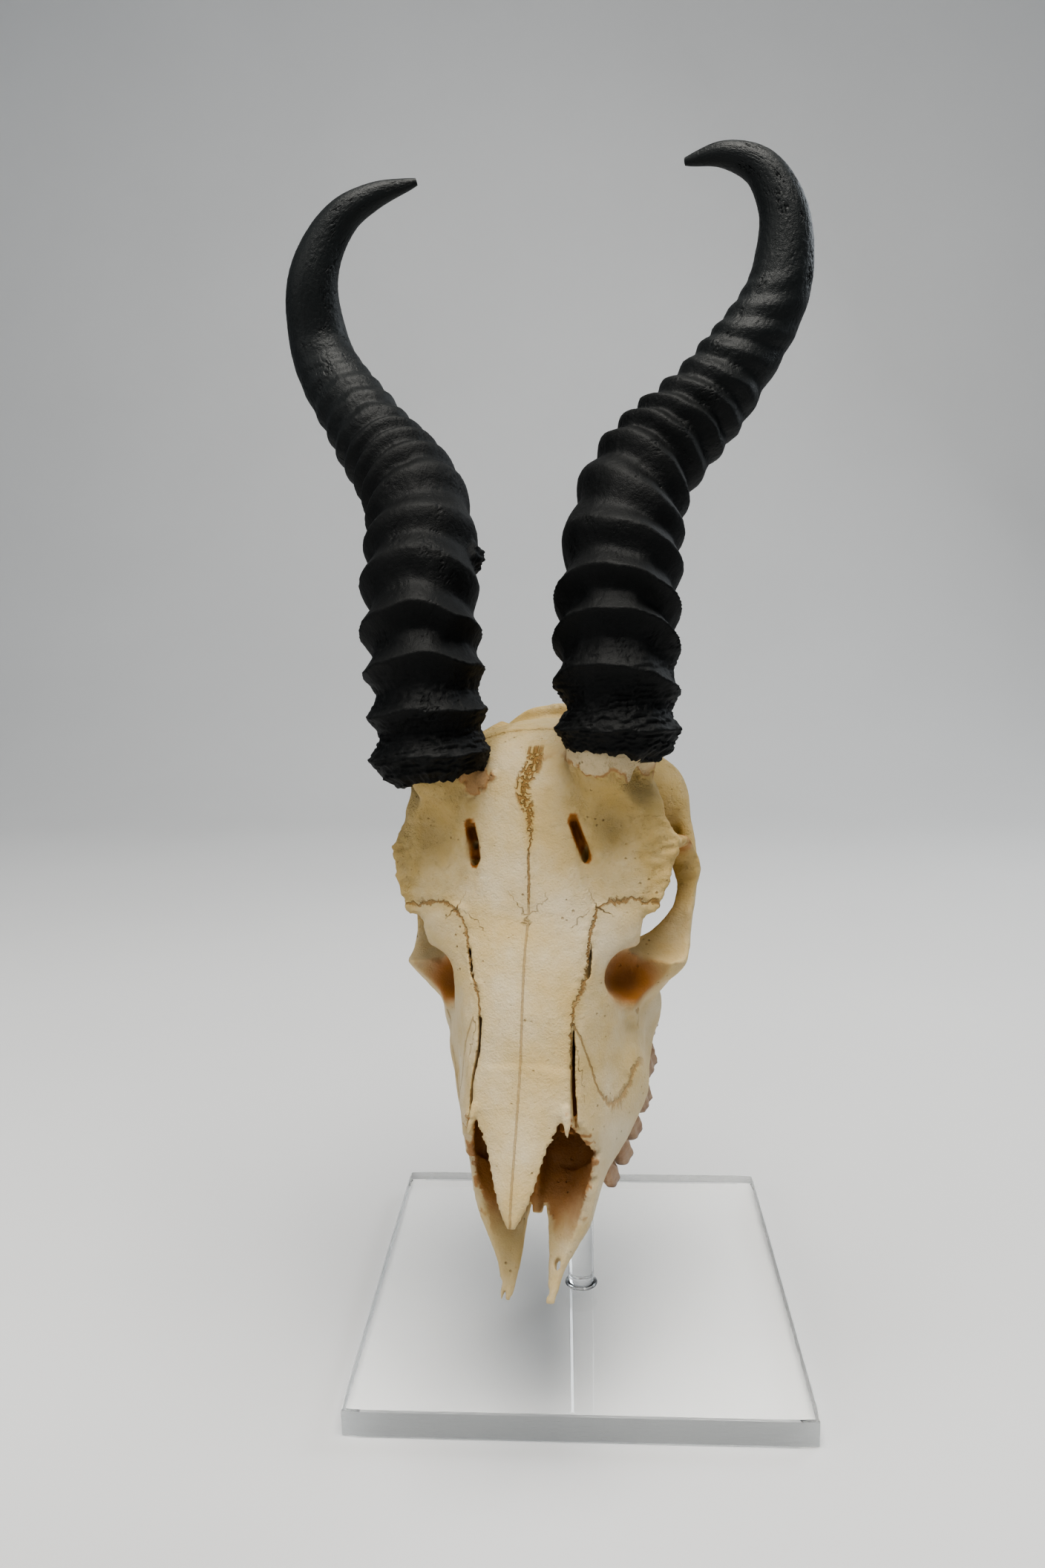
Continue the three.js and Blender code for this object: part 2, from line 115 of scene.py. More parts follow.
class Clay:
    """A block of signed distances in millimetres; cell centres lie half a cell off the midline."""

    def __init__(self, box, field=None):
        self.first = [round(low / VOXEL) for low, _ in box]
        shape = [round((high - low) / VOXEL) for low, high in box]
        self.field = np.full(shape, REACH, np.float32) if field is None else field

    def window(self, low, high):
        """Slices and coordinates of the cells between two corners, and the index of the first of them."""
        spans, coordinates, corner = [], [], []
        for axis in range(3):
            begin = max(math.floor(low[axis] / VOXEL) - self.first[axis] - 1, 0)
            end = min(math.ceil(high[axis] / VOXEL) - self.first[axis] + 2, self.field.shape[axis])
            end = max(end, begin + 1)
            spans.append(slice(begin, end))
            corner.append(begin + self.first[axis])
            shift = 0.5 if axis == 0 else 0.0
            line = (np.arange(begin, end) + self.first[axis] + shift) * VOXEL
            coordinates.append(line.reshape([-1 if i == axis else 1 for i in range(3)]))
        return tuple(spans), coordinates, corner

    def merge(self, spans, shape, blend, cut):
        old = self.field[spans]
        if cut:
            self.field[spans] = -soft_min(-old, shape, blend)
        else:
            self.field[spans] = soft_min(old, shape, blend)

    def ball(self, centre, radii, blend=1.0, cut=False):
        """An ellipsoid."""
        centre, radii = np.array(centre, float), np.array(radii, float)
        spans, axes, _ = self.window(centre - radii - REACH, centre + radii + REACH)
        offsets = [line - middle for line, middle in zip(axes, centre)]
        near = np.sqrt(sum((o / r) ** 2 for o, r in zip(offsets, radii))) + 1e-6
        steep = np.sqrt(sum((o / r**2) ** 2 for o, r in zip(offsets, radii))) + 1e-6
        self.merge(spans, (near * (near - 1) / steep).astype(np.float32), blend, cut)

    def skin(self, rings, blend=1.0, cut=False):
        """A closed skin over rings of points."""
        points, quads, caps = skin_of(rings)
        spans, axes, corner = self.window(points.min(0) - REACH, points.max(0) + REACH)
        grid = vdb.FloatGrid.createLevelSetFromPolygons(
            points, triangles=caps, quads=quads, transform=cell_transform(), halfWidth=float(BAND)
        )
        shape = np.full([axis.size for axis in axes], REACH, np.float32)
        grid.copyToArray(shape, ijk=tuple(corner))
        self.merge(spans, shape, blend, cut)


print("clay cells of", VOXEL, "mm, fillets up to", round(REACH, 1), "mm")

# %% [markdown]
# ## Skins
# Rings of points, one after another, become the closed skin of one shape.

# %% Skins from rings


def cell_transform():
    transform = vdb.createLinearTransform(voxelSize=VOXEL)
    transform.postTranslate((VOXEL / 2, 0.0, 0.0))
    return transform


def skin_of(rings):
    """Points, quads and end caps over rings with equal numbers of points."""
    rings = np.asarray(rings, float)
    count, sides = rings.shape[:2]
    points = np.concatenate([rings.reshape(-1, 3), rings[:1].mean(1), rings[-1:].mean(1)])
    row, side = np.meshgrid(np.arange(count - 1), np.arange(sides), indexing="ij")
    after = (side + 1) % sides
    here, beyond = row * sides, (row + 1) * sides
    quads = np.stack([here + side, here + after, beyond + after, beyond + side], -1)
    line = np.arange(sides)
    turn = (line + 1) % sides
    last = (count - 1) * sides
    front = np.stack([np.full(sides, count * sides), turn, line], -1)
    back = np.stack([np.full(sides, count * sides + 1), last + line, last + turn], -1)
    caps = np.concatenate([front, back])
    quads = quads.reshape(-1, 4)
    corner = points[quads]
    flux = np.cross(corner[:, 2] - corner[:, 0], corner[:, 3] - corner[:, 1])
    if (flux * (corner.mean(1) - points.mean(0))).sum() < 0:
        quads, caps = quads[:, ::-1], caps[:, ::-1]
    return points, np.ascontiguousarray(quads, np.uint32), np.ascontiguousarray(caps, np.uint32)


print("skins are measured on a grid of", VOXEL, "mm")

# %% [markdown]
# ## Paths and sections
# Two kinds of outline shape the whole skull.
# Sections are cut across the head and skinned over, and bars of bone are swept along a path.
# Both pass smoothly through a few chosen points, by a cubic curve with matching slopes.

# %% Curves through points


def smooth(knots, values, at):
    """Cubic curve through values at rising knots."""
    knots, values, at = np.asarray(knots, float), np.asarray(values, float), np.asarray(at, float)
    slopes = np.gradient(values, knots, axis=0)
    index = np.clip(np.searchsorted(knots, at, side="right") - 1, 0, len(knots) - 2)
    step = knots[index + 1] - knots[index]
    shape = (-1,) + (1,) * (values.ndim - 1)
    u, h = ((at - knots[index]) / step).reshape(shape), step.reshape(shape)
    a, b, ma, mb = values[index], values[index + 1], slopes[index], slopes[index + 1]
    rise = u * u * (3 - 2 * u)
    return a + (b - a) * rise + h * (ma * u * (1 - u) ** 2 - mb * u * u * (1 - u))


def path(points, count):
    """Evenly spaced points on a smooth curve; extra columns ride along."""
    points = np.asarray(points, float)
    lengths = np.linalg.norm(np.diff(points[:, :3], axis=0), axis=1)
    knots = np.concatenate([[0], np.cumsum(lengths)])
    return smooth(knots, points, np.linspace(0, knots[-1], count))


def sections(table, steps, round_points=26):
    """Rings over half outlines {y: [(x, z), ...]} from the top midline to the bottom midline."""
    stations = sorted(table)
    halves = np.array([path([(x, 0, z) for x, z in table[y]], round_points) for y in stations])
    halves[:, :, 1] = np.array(stations)[:, None]
    places = np.linspace(stations[0], stations[-1], steps)
    halves = smooth(stations, halves, places)
    halves[:, 0, 0] = halves[:, -1, 0] = 0
    others = halves[:, -2:0:-1] * (-1, 1, 1)
    return np.concatenate([halves, others], axis=1)


def outlines(table, steps):
    """Rings over whole outlines {y: [(x, z), ...]}, all listed in the same order."""
    stations = sorted(table)
    rings = np.array([[(x, y, z) for x, z in table[y]] for y in stations], float)
    return smooth(stations, rings, np.linspace(stations[0], stations[-1], steps))


def bar(points, up=(0, 0, 1), steps=24, sides=16):
    """Rings along points (x, y, z, half width, half height); the height leans to up."""
    line = path(points, steps)
    along = np.gradient(line[:, :3], axis=0)
    along /= np.linalg.norm(along, axis=1)[:, None]
    across = np.cross(along, np.array(up, float))
    across /= np.linalg.norm(across, axis=1)[:, None]
    over = np.cross(across, along)
    angles = np.arange(sides) * 2 * math.pi / sides
    ring = np.cos(angles)[None, :, None] * across[:, None] * line[:, None, 3:4]
    ring = ring + np.sin(angles)[None, :, None] * over[:, None] * line[:, None, 4:5]
    return line[:, None, :3] + ring


print("half-way up a test curve:", smooth([0, 1, 2], [0.0, 1.0, 4.0], [0.5]).round(2))

# %% [markdown]
# ## The cranium
# Sections across the head give the long face, the flat forehead with its shelf over each eye,
# and the round braincase behind. Half outlines are enough, because a skull is nearly symmetrical.
# So only the left half of the clay is worked here, and it is mirrored before anything uneven is cut.

# %% Cranium from sections
CRANIUM = {
    50: [(0, 35), (6, 34.6), (12, 32), (15.5, 26), (17, 18), (18, 10), (15.5, 3), (10, 2), (0, 4)],
    60: [(0, 39.3), (8, 38.6), (15, 36), (18.5, 30), (20.5, 21), (21.5, 12), (19, 2), (13, 1.5), (0, 5)],
    75: [(0, 45.3), (9, 44.4), (15.5, 42), (20.5, 34), (25, 22), (27.5, 11), (25.5, 0.5), (19, 1), (0, 6)],
    91: [(0, 52.8), (10, 52), (17, 49), (22.5, 40), (28, 25), (32.3, 12.5), (30.5, 0.5), (21.5, 1), (0, 7)],
    106: [(0, 58.6), (11, 57.8), (20.5, 55), (27, 47), (29, 34), (33, 18), (31.5, 0.5), (21.5, 1), (0, 7.5)],
    118: [(0, 62.8), (12, 62.3), (24, 60), (36, 54), (33, 40), (36, 24), (31.5, 1.5), (21, 2), (0, 8)],
    127: [(0, 67.3), (13, 66.8), (25, 64.5), (40, 60), (30, 44), (27, 28), (24, 10), (18, 8), (0, 12)],
    136: [(0, 72.5), (13, 72), (25, 70), (43.5, 64), (28, 48), (20, 34), (15, 18), (12, 16), (0, 17)],
    144: [(0, 77), (13, 76.8), (26, 75.5), (45.5, 68), (28, 52), (20, 36), (14, 20), (11, 17.5), (0, 18)],
    152: [(0, 81), (13, 81), (27, 80), (40, 72), (29, 56), (22, 38), (15, 21), (11, 17.5), (0, 18)],
    163: [(0, 83.5), (13, 83.3), (26, 80), (34, 71), (32, 58), (29, 40), (20, 22), (12, 16.5), (0, 16.5)],
    175: [(0, 81.5), (12, 80.5), (23, 76), (32, 66), (36.8, 52), (36.5, 36), (30, 20), (13, 15), (0, 14.5)],
    186: [(0, 74.5), (11, 73.5), (21, 69), (31, 59), (37, 47), (38, 31), (33, 18), (13, 13.5), (0, 13)],
    196: [(0, 64), (10, 63), (19, 59.5), (28, 51), (34, 41), (34, 29), (29, 17), (12, 13), (0, 12)],
    204: [(0, 54), (9, 53), (17, 49.5), (24, 43), (27, 35), (25, 26), (18, 17), (10, 14), (0, 13)],
    208: [(0, 49), (7, 48), (13, 45), (18, 39), (20, 33), (18, 26), (13, 19), (8, 16), (0, 15)],
}
HALF_BOX = ((0, 57), (14, 216), (-18, 116))
clay = Clay(HALF_BOX)
clay.skin(sections(CRANIUM, 90))
print("bone cells after the cranium:", int((clay.field < 0).sum()))

# %% [markdown]
# ## Brow, orbit and cheek
# The horn stands on a neck of the forehead called the pedicle.
# Under the brow's shelf lies the round orbit, floored by the cheek bone and closed behind by a flat bar.
# In front of the orbit is the deep tear pit. The cheek is filled in first, and the orbit is then scooped out.

# %% Pedicle, orbit and arches
PEDICLE = [
    (26.5, 149, 65, 13, 13), (27.5, 155, 79, 12, 12.5),
    (28.8, 160.5, 89.5, 12.6, 13), (29.6, 170, 97, 11, 11),
]
CHEEK = {
    101: [(30.5, 34), (31.5, 27), (32, 16), (25, 15), (25, 30), (27.5, 35)],
    108: [(34.5, 40), (34.5, 31), (33.5, 20), (25, 18), (25, 32), (31, 39)],
    115: [(45.6, 41.5), (44.5, 33), (40, 24), (26, 20), (25, 34), (37, 40)],
    124: [(47.3, 39.5), (46.5, 31), (42, 25), (27, 23), (26, 34), (38, 38)],
    131: [(47.3, 38.5), (46.5, 30.5), (43, 28), (36, 28), (34.5, 33), (40, 37)],
    137: [(47.6, 38.5), (47, 31), (44.5, 29.5), (40.5, 30.5), (40, 36), (43, 38)],
    142: [(48, 38.6), (47.5, 31.5), (45.5, 30.5), (42, 31.5), (41.5, 36), (45, 38)],
    150: [(48.8, 41), (48.5, 34), (46.5, 33.5), (43, 35), (42, 39), (46, 41)],
}
ARCH = [
    (45.5, 148, 37.5, 3, 3.8), (45, 160, 40, 2.5, 4.4),
    (42, 171, 43.5, 3, 6), (37.5, 180, 45, 5, 8), (31, 187, 45, 5, 9),
]
TEMPLE = {"centre": (36, 173, 43.5), "radii": (8.5, 13, 13)}
ORBIT_FRONT = {"centre": (44, 126.5, 45.5), "radii": (23, 13, 12)}
ORBIT_REAR = {"centre": (46, 138.5, 49.2), "radii": (23, 14, 13)}
ORBIT_DEPTH = {"centre": (29, 138, 44), "radii": (12, 13, 12)}
TEAR_PIT = {"centre": (34, 107.5, 43.5), "radii": (11.5, 8.2, 9.5)}
ORBIT_BAR = [
    (42, 141, 65.6, 5, 2.4), (43.8, 146.5, 59, 4.8, 2.1),
    (44.2, 150.5, 51, 4.6, 2.1), (44.5, 152, 43, 4.6, 2.4),
    (45, 151, 37, 4, 3),
]
BROW_EDGE = [(38, 122, 57.8, 2, 1.4), (42, 131, 61.8, 2, 1.4), (44.5, 140, 65.8, 2, 1.4)]
HOLLOWS = [
    ((30, 134, 81), (9, 13, 13), 4), ((31, 121, 71), (8, 8, 10), 4), ((40, 78, 30), (14, 16, 12), 5),
    ((0, 112, 75), (10, 12, 13), 4), ((40, 150, 86), (7, 8, 8), 3),
]
clay.skin(bar(PEDICLE, up=(0, -0.6, 0.8)), blend=6)
for centre, radii, blend in HOLLOWS:
    clay.ball(centre, radii, blend=blend, cut=True)
clay.ball(**TEAR_PIT, blend=3, cut=True)
clay.skin(outlines(CHEEK, 50), blend=2.5)
clay.ball(**TEAR_PIT, blend=1.2, cut=True)
clay.ball(**ORBIT_FRONT, blend=1.6, cut=True)
clay.ball(**ORBIT_REAR, blend=1.6, cut=True)
clay.ball(**ORBIT_DEPTH, blend=5, cut=True)
clay.skin(bar(ARCH, steps=40), blend=3)
clay.ball(**TEMPLE, blend=4)
clay.skin(bar(ORBIT_BAR, up=(0, 1, 0)), blend=2.5)
clay.skin(bar(BROW_EDGE), blend=2)
print("bone cells with the arches:", int((clay.field < 0).sum()))

# %% [markdown]
# ## Braincase, ear and neck
# Behind the face sit the ear bullae, the knuckles for the neck and the hole for the spinal cord.
# A faint line along the temple and a crest across the nape show where muscles were anchored.

# %% Back of the skull
EAR_BULLA = {"centre": (17, 183, 10), "radii": (8, 12, 8.5)}
NECK_CONDYLE = {"centre": (10.5, 206.5, 19.5), "radii": (6.5, 7, 9.5)}
FORAMEN_MAGNUM = {"centre": (0, 203, 30), "radii": (8.5, 22, 8)}
JUGULAR = [(22.5, 194, 24, 3.6, 6), (24.5, 198, 9, 2.4, 4.2), (23.5, 198, -5, 1.4, 2)]
NAPE_CREST = [(0, 204, 59.5, 2.4, 2), (12, 203.5, 56.5, 2.4, 2), (22, 199.5, 48, 2.2, 2), (29, 192, 38, 2, 2)]
TEMPLE_LINE = [
    (39, 151, 72.5, 1.6, 1.4), (33, 166, 71, 1.5, 1.2),
    (27, 181, 67.5, 1.4, 1), (19, 197, 61, 1.4, 1),
]
EAR_TUBE = [(24, 185, 25, 4, 4), (30, 187, 28.5, 3.8, 3.8), (35, 188.5, 31, 3.2, 3.2)]
EAR_HOLE = [(28, 186.5, 27.5, 1.9, 1.9), (38, 189.5, 32.5, 2.1, 2.1)]
PTERYGOID = [(12, 120, 8, 1.6, 7), (11.5, 136, 9, 1.3, 9), (10.5, 150, 13, 1.3, 7.5), (10, 160, 17, 1.6, 4)]
clay.ball(**EAR_BULLA, blend=2.5)
clay.skin(bar(JUGULAR, up=(0, 1, 0)), blend=4)
clay.skin(bar(NAPE_CREST, up=(0, 1, 0)), blend=5)
clay.skin(bar(TEMPLE_LINE), blend=5)
clay.skin(bar(EAR_TUBE), blend=3)
clay.skin(bar(EAR_HOLE), blend=0.6, cut=True)
clay.ball(**NECK_CONDYLE, blend=1.5)
clay.ball(**FORAMEN_MAGNUM, blend=2, cut=True)
print("bone cells with the braincase:", int((clay.field < 0).sum()))

# %% [markdown]
# ## Muzzle
# The nose is a thin-walled trough. Its roof, the pair of nasal bones, runs free to a point,
# and its floor splits into two slender premaxillae whose tips have broken off.
# So the passage is cut first, then the sloping front edge, and then the free blades are added.

# %% Nasal passage and muzzle
PASSAGE = {
    20: [(0, 30), (8, 29.5), (11.5, 20), (13.5, 11), (10, 6), (0, 6.2)],
    48: [(0, 32), (9, 31.5), (13, 24), (15.6, 13), (11, 5.5), (0, 6)],
    60: [(0, 36.5), (12.5, 34), (16, 26), (18.4, 14), (13, 6.5), (0, 7)],
    75: [(0, 42.5), (13, 39.8), (18.5, 30), (20, 18), (14, 10), (0, 9.5)],
    91: [(0, 49.4), (14.5, 46.2), (20.5, 35), (22, 22), (15, 13), (0, 11.5)],
    110: [(0, 53), (14, 51), (20, 38), (20, 27), (13, 18), (0, 16)],
}
CHOANA = [(0, 96, 28, 9, 10), (0, 122, 19, 8.5, 8), (0, 138, 10, 8.5, 7), (0, 154, 1, 8, 6)]
FRONT_EDGE = [(66, 62), (64, 36), (61.2, 22), (57, 16.5), (48, 13), (43, 8.5), (36, 6.5), (8, 6.5), (8, 62)]
NASAL = {
    34: [(0, 30.9), (0.8, 30.7), (1.1, 30.1), (0.8, 29.6), (0, 29.5)],
    36: [(0, 31.9), (1.6, 31.5), (2.6, 30.6), (1.6, 30), (0, 30.2)],
    40: [(0, 33.4), (2.8, 32.9), (4.5, 31.8), (2.8, 31.2), (0, 31.7)],
    48: [(0, 36), (4.5, 35.3), (7.3, 33.9), (4.5, 33.4), (0, 34.2)],
    56: [(0, 38.6), (6, 37.9), (10, 36), (6, 35.8), (0, 36.6)],
    61: [(0, 40.2), (7.5, 39.5), (12.6, 37), (7.5, 37.2), (0, 38)],
    66: [(0, 41.9), (9, 41.1), (14.8, 38.6), (9, 38.6), (0, 39.5)],
    76: [(0, 46), (9.5, 45.1), (15, 42.6), (9.5, 42.6), (0, 43.4)],
}
NASAL_SPUR = [(14, 67, 39.4, 1.6, 1.3), (14.7, 62, 38, 1.2, 1), (15.1, 58.6, 36.8, 0.5, 0.4)]
INNER_TIP = [
    (-5.6, 23.2, 2.6, 0.8, 0.7), (-5.2, 28, 2.5, 1.2, 0.9),
    (-4.8, 36, 2.6, 1.4, 1.1), (-4.6, 44, 3, 1.4, 1.2),
]
PREMAXILLA = {
    21.5: [(5.6, 2.1), (5.6, 2.9), (6.6, 3.3), (7.6, 3.4), (8.4, 2.8), (7.9, 2.1), (6.8, 1.9)],
    26: [(5.5, 1.5), (5.5, 2.9), (7, 3.7), (8.3, 3.9), (9.2, 2.8), (8.5, 1.3), (7, 1.1)],
    31: [(5.2, 1.2), (5.2, 3.2), (7.8, 4.5), (9.4, 5), (10.6, 3.3), (9.7, 1), (7.5, 0.6)],
    38: [(4.6, 1.2), (4.6, 3.6), (9, 5.4), (12.4, 6.6), (14, 4.5), (12.7, 0.8), (8, 0.4)],
    44: [(3.6, 1.4), (3.6, 4), (10, 6), (15.4, 9.4), (17.2, 7.5), (16.2, 1.8), (10, 0.5)],
    52: [(2.4, 2), (2.4, 5), (10, 6.6), (17.6, 13.4), (19.7, 12), (18.6, 3.6), (12, 1)],
    60: [(2, 3), (2, 5.5), (11, 7), (18.6, 17), (21, 15), (20, 4), (12, 2)],
}
VOMER = [(0, 47, 4, 1.5, 2), (0, 70, 9, 1.4, 5), (0, 104, 18, 1.6, 9)]
TOOTH_RIDGE = [
    (24, 84, 5, 5, 4.5), (26, 100, 5.5, 6, 5), (26.6, 116, 6, 6.2, 5.5),
    (25.5, 127, 8.5, 5.5, 6), (22, 133, 12, 4, 5),
]
TURBINATE = [(11, 66, 21, 2.2, 4), (12.5, 84, 27, 3.2, 6.5), (11, 106, 33, 3.2, 7)]
nose = Clay(HALF_BOX)
nose.skin(sections(PASSAGE, 60))
front_cut = Clay(HALF_BOX)
clay.skin(sections(PASSAGE, 60), blend=1.5, cut=True)
clay.skin(bar(CHOANA), blend=3, cut=True)
edge = np.array([(0, y, z) for y, z in FRONT_EDGE], float)
edge_prism = np.stack([edge + (x, 0, 0) for x in (-60, 60)])
front_cut.skin(edge_prism)
clay.skin(edge_prism, blend=0.8, cut=True)
clay.skin(outlines(PREMAXILLA, 40), blend=1.2)
clay.skin(sections(NASAL, 50), blend=1.0)
clay.skin(bar(NASAL_SPUR), blend=0.8)
clay.skin(bar(PTERYGOID), blend=2)
clay.skin(bar(TOOTH_RIDGE), blend=3)
clay.skin(bar(VOMER), blend=1.5)
clay.skin(bar(TURBINATE), blend=1.5)
print("bone cells with the muzzle:", int((clay.field < 0).sum()))

# %% [markdown]
# ## Slits, nerve holes and broken edges
# The two sides of a skull never match. Beside the nasal bones a dried seam has opened into a slit,
# nerves leave the forehead by a pair of uneven holes, and the muzzle's thin tips are chipped.
# These are cut from the whole block, after the two halves have been joined.

# %% Uneven cuts
SLITS = [
    [(16.6, 62, 36, 0.7, 5.5), (15.9, 70, 39, 0.6, 5.5), (15.6, 80, 43, 0.5, 5.5), (15.6, 88, 46.5, 0.35, 5)],
    [
        (-15.2, 63, 36, 0.5, 5.5), (-14.8, 73, 40, 0.4, 5.5),
        (-12.9, 83, 45, 0.5, 5.5), (-12.7, 91, 48.5, 0.5, 5),
    ],
    [(19.4, 102, 51.5, 0.4, 3), (20.1, 106, 53.6, 0.5, 3), (20.6, 112, 56, 0.35, 3)],
    [(-15.8, 101, 52.5, 0.35, 3), (-17.6, 110, 56, 0.45, 3)],
]
NERVE_SLOTS = [
    [(-17.4, 142.4, 75.4, 1, 3), (-17, 138, 72.6, 2, 4.2), (-16.6, 133.8, 70, 1.7, 3.5)],
    [(15.6, 143, 76.4, 1, 2.6), (17.2, 139, 74, 1.5, 4), (19.2, 134.5, 71, 1.4, 3.4)],
]
NERVE_GROOVES = [
    [(-16.6, 134.5, 70.8, 1.8, 1.6), (-19, 128, 66.6, 2.6, 1.6), (-21.5, 122.5, 63, 2.6, 1.2)],
    [(18.6, 136, 71.6, 1.8, 1.6), (21, 129, 66.8, 2.8, 1.6), (23.6, 122.5, 62.8, 2.4, 1.2)],
]
HOLES = [
    ((-17.3, 140.2, 71), (1.1, 1.7, 6)), ((-16.6, 135, 68), (1.7, 1.7, 6)),
    ((18.4, 136.3, 69), (1.2, 2.8, 6)),
    ((8.2, 32.4, 3), (0.9, 1.8, 5)), ((-31.5, 112, 54), (0.9, 1.2, 3)), ((31.5, 113, 54.5), (0.8, 1, 3)),
    ((28.5, 84, 22), (1.6, 2.4, 2)), ((-28.5, 84, 22), (1.6, 2.4, 2)), ((-33, 117, 57), (0.8, 0.9, 2)),
    ((-35.4, 119.6, 57), (0.7, 0.9, 2)), ((33.8, 116.6, 57), (0.8, 0.8, 2)),
    ((35.6, 120, 57.4), (0.6, 0.9, 2)),
]
CHIPS = [
    ((9.6, 22.5, 3), (1.5, 2.4, 6)), ((-7.3, 21.6, 3), (0.6, 2.4, 6)), ((-9.4, 25.5, 3), (1.2, 1.6, 6)),
    ((5.4, 24.6, 3), (0.9, 1.4, 6)), ((21, 60.5, 20), (3, 1.5, 1.6)), ((20.5, 54, 14.6), (3, 1.8, 1.4)),
    ((-19.5, 57.5, 17.4), (3, 1.4, 1.4)), ((-18, 48.5, 12.5), (3, 2, 1.2)), ((13, 60.6, 38), (0.9, 1.6, 3)),
]
mirrored = np.concatenate([clay.field[::-1], clay.field])
whole = Clay([(-HALF_BOX[0][1], HALF_BOX[0][1]), *HALF_BOX[1:]], mirrored)
whole.first[0] = -clay.field.shape[0]
for groove in NERVE_GROOVES:
    whole.skin(bar(groove), blend=2, cut=True)
whole.skin(bar(INNER_TIP), blend=1)
for slot in NERVE_SLOTS:
    whole.skin(bar(slot), blend=1, cut=True)
for slit in SLITS:
    whole.skin(bar(slit), blend=0.4, cut=True)
for centre, radii in HOLES + CHIPS:
    whole.ball(centre, radii, blend=0.5, cut=True)
print("clay block:", whole.field.shape)

# %% [markdown]
# ## From clay to a surface
# The zero surface of the block becomes a mesh of small quads.
# Seeded lattice noise then gives the dry bone its faint waves and pits,
# and the seams between bones their welts.
# The torn collar under the left horn, where the sheath has pulled away, is lifted by 1.7 mm.
# A smaller flake under the right horn is lifted by 0.7 of that.

# %% Skin and noise helpers


def clay_mesh(block):
    """Vertices and quads of the zero surface, in millimetres."""
    grid = vdb.FloatGrid()
    grid.background = REACH
    grid.transform = cell_transform()
    grid.copyFromArray(np.ascontiguousarray(block.field), ijk=tuple(block.first), tolerance=0.0)
    points, _, quads = grid.convertToPolygons(isovalue=0.0, adaptivity=0.0)
    return points.astype(float), quads


def lattice_noise(points, size, seed):
    """Smooth noise from -1 to 1 with lumps of about this size."""
    table = np.random.default_rng(seed).uniform(-1, 1, (32, 32, 32))
    scaled = points / size
    cell = np.floor(scaled).astype(int)
    part = scaled - cell
    part = part * part * (3 - 2 * part)
    total = np.zeros(len(points))
    for corner in np.ndindex(2, 2, 2):
        weight = np.prod(np.where(np.array(corner) == 1, part, 1 - part), axis=1)
        index = (cell + corner) % 32
        total += weight * table[index[:, 0], index[:, 1], index[:, 2]]
    return total


def sample(block, clay_block, points):
    """Nearest cell's value at each point."""
    shifted = points / VOXEL - (0.5, 0, 0) - np.array(clay_block.first)
    index = np.clip(np.round(shifted).astype(int), 0, np.array(block.shape) - 1)
    return block[index[:, 0], index[:, 1], index[:, 2]]


def ramp(value, low, high):
    """Smooth step from 0 at low to 1 at high."""
    part = np.clip((value - low) / (high - low), 0, 1)
    return part * part * (3 - 2 * part)


print("skin and noise helpers ready")

# %% [markdown]
# ## Seams between the bones
# The bones of a skull meet along seams. Each seam runs smoothly through a few listed points.
# Masks mark the torn collar, the flake and the broken edges.

# %% Seams and torn patches
SEAMS = {
    "frontal": (1.0, 3.0, [
        (2.2, 165, 83.6), (2.2, 160, 83.4), (0.8, 157, 82.8),
        (-0.6, 152.5, 81.3), (0, 149, 79.7), (1.4, 146, 78.2),
        (2, 140, 74.8), (1.5, 134, 72),
    ]),
    "frontal_front": (0.9, 0.5, [(1.5, 134, 72), (1.6, 126, 67), (1.5, 121, 64.5)]),
    "internasal": (0.5, 0.2, [
        (1.5, 121, 64.5), (1, 108, 59.5), (0.8, 80, 48),
        (0.2, 60, 40.5), (-0.2, 34.5, 31),
    ]),
    "lacrimal_left": (0.9, 1.1, [(22.5, 121, 63), (25.4, 123.5, 63), (30.7, 125, 62.5), (39, 123.4, 59)]),
    "lacrimal_right": (0.9, 1.1, [
        (-22.5, 121, 63), (-25.4, 123.5, 63),
        (-30.7, 125, 62.5), (-39, 123.4, 59),
    ]),
    "nasal_left": (1.0, 0.9, [
        (22.5, 121, 63), (21.5, 117, 61), (20.2, 111, 58.5), (20, 105.5, 56), (18, 99, 54), (16.2, 94, 52),
        (15.5, 87, 49), (15.8, 76, 43.5), (17, 63, 39),
    ]),
    "nasal_right": (1.0, 0.9, [
        (-22.5, 121, 63), (-19.5, 116.5, 61), (-17.6, 109.5, 58.5),
        (-16, 102.5, 56), (-14, 97, 54), (-12.6, 89, 51),
        (-12.9, 83, 48), (-14.8, 73, 43), (-15, 64, 40),
    ]),
    "nasofrontal_left": (0.06, 0.8, [(22.5, 121, 63), (12, 119, 64), (1.9, 117, 63)]),
    "nasofrontal_right": (0.06, 0.8, [(-22.5, 121, 63), (-12, 119, 64), (1.9, 117, 63)]),
    "coronal": (0.5, 0.8, [(-25, 172, 74), (-12, 176, 80), (0, 177, 81), (12, 176, 80), (25, 172, 74)]),
    "cheek_left": (0.7, 0.5, [
        (16.5, 88, 47.5), (20, 80.5, 38), (22, 75, 30),
        (24, 75, 25), (26, 78, 21.5), (29.5, 88, 19.5), (31, 94, 19.5),
        (31, 101, 27),
    ]),
    "cheek_right": (0.5, 0.5, [
        (-16.5, 88, 47.5), (-20, 80.5, 38), (-22, 75, 30), (-24, 75, 25), (-26, 78, 21.5), (-29.5, 88, 19.5),
        (-31, 94, 19.5), (-31, 101, 27),
    ]),
}
SEAM_STEP = 0.4
COLLAR_BASE = np.array([29, 160.5, 90.0])
COLLAR_AXIS = np.array([0.043, 0.793, 0.608])
FLAKE_PLACE = np.array([-16.2, 155.8, 86.0])


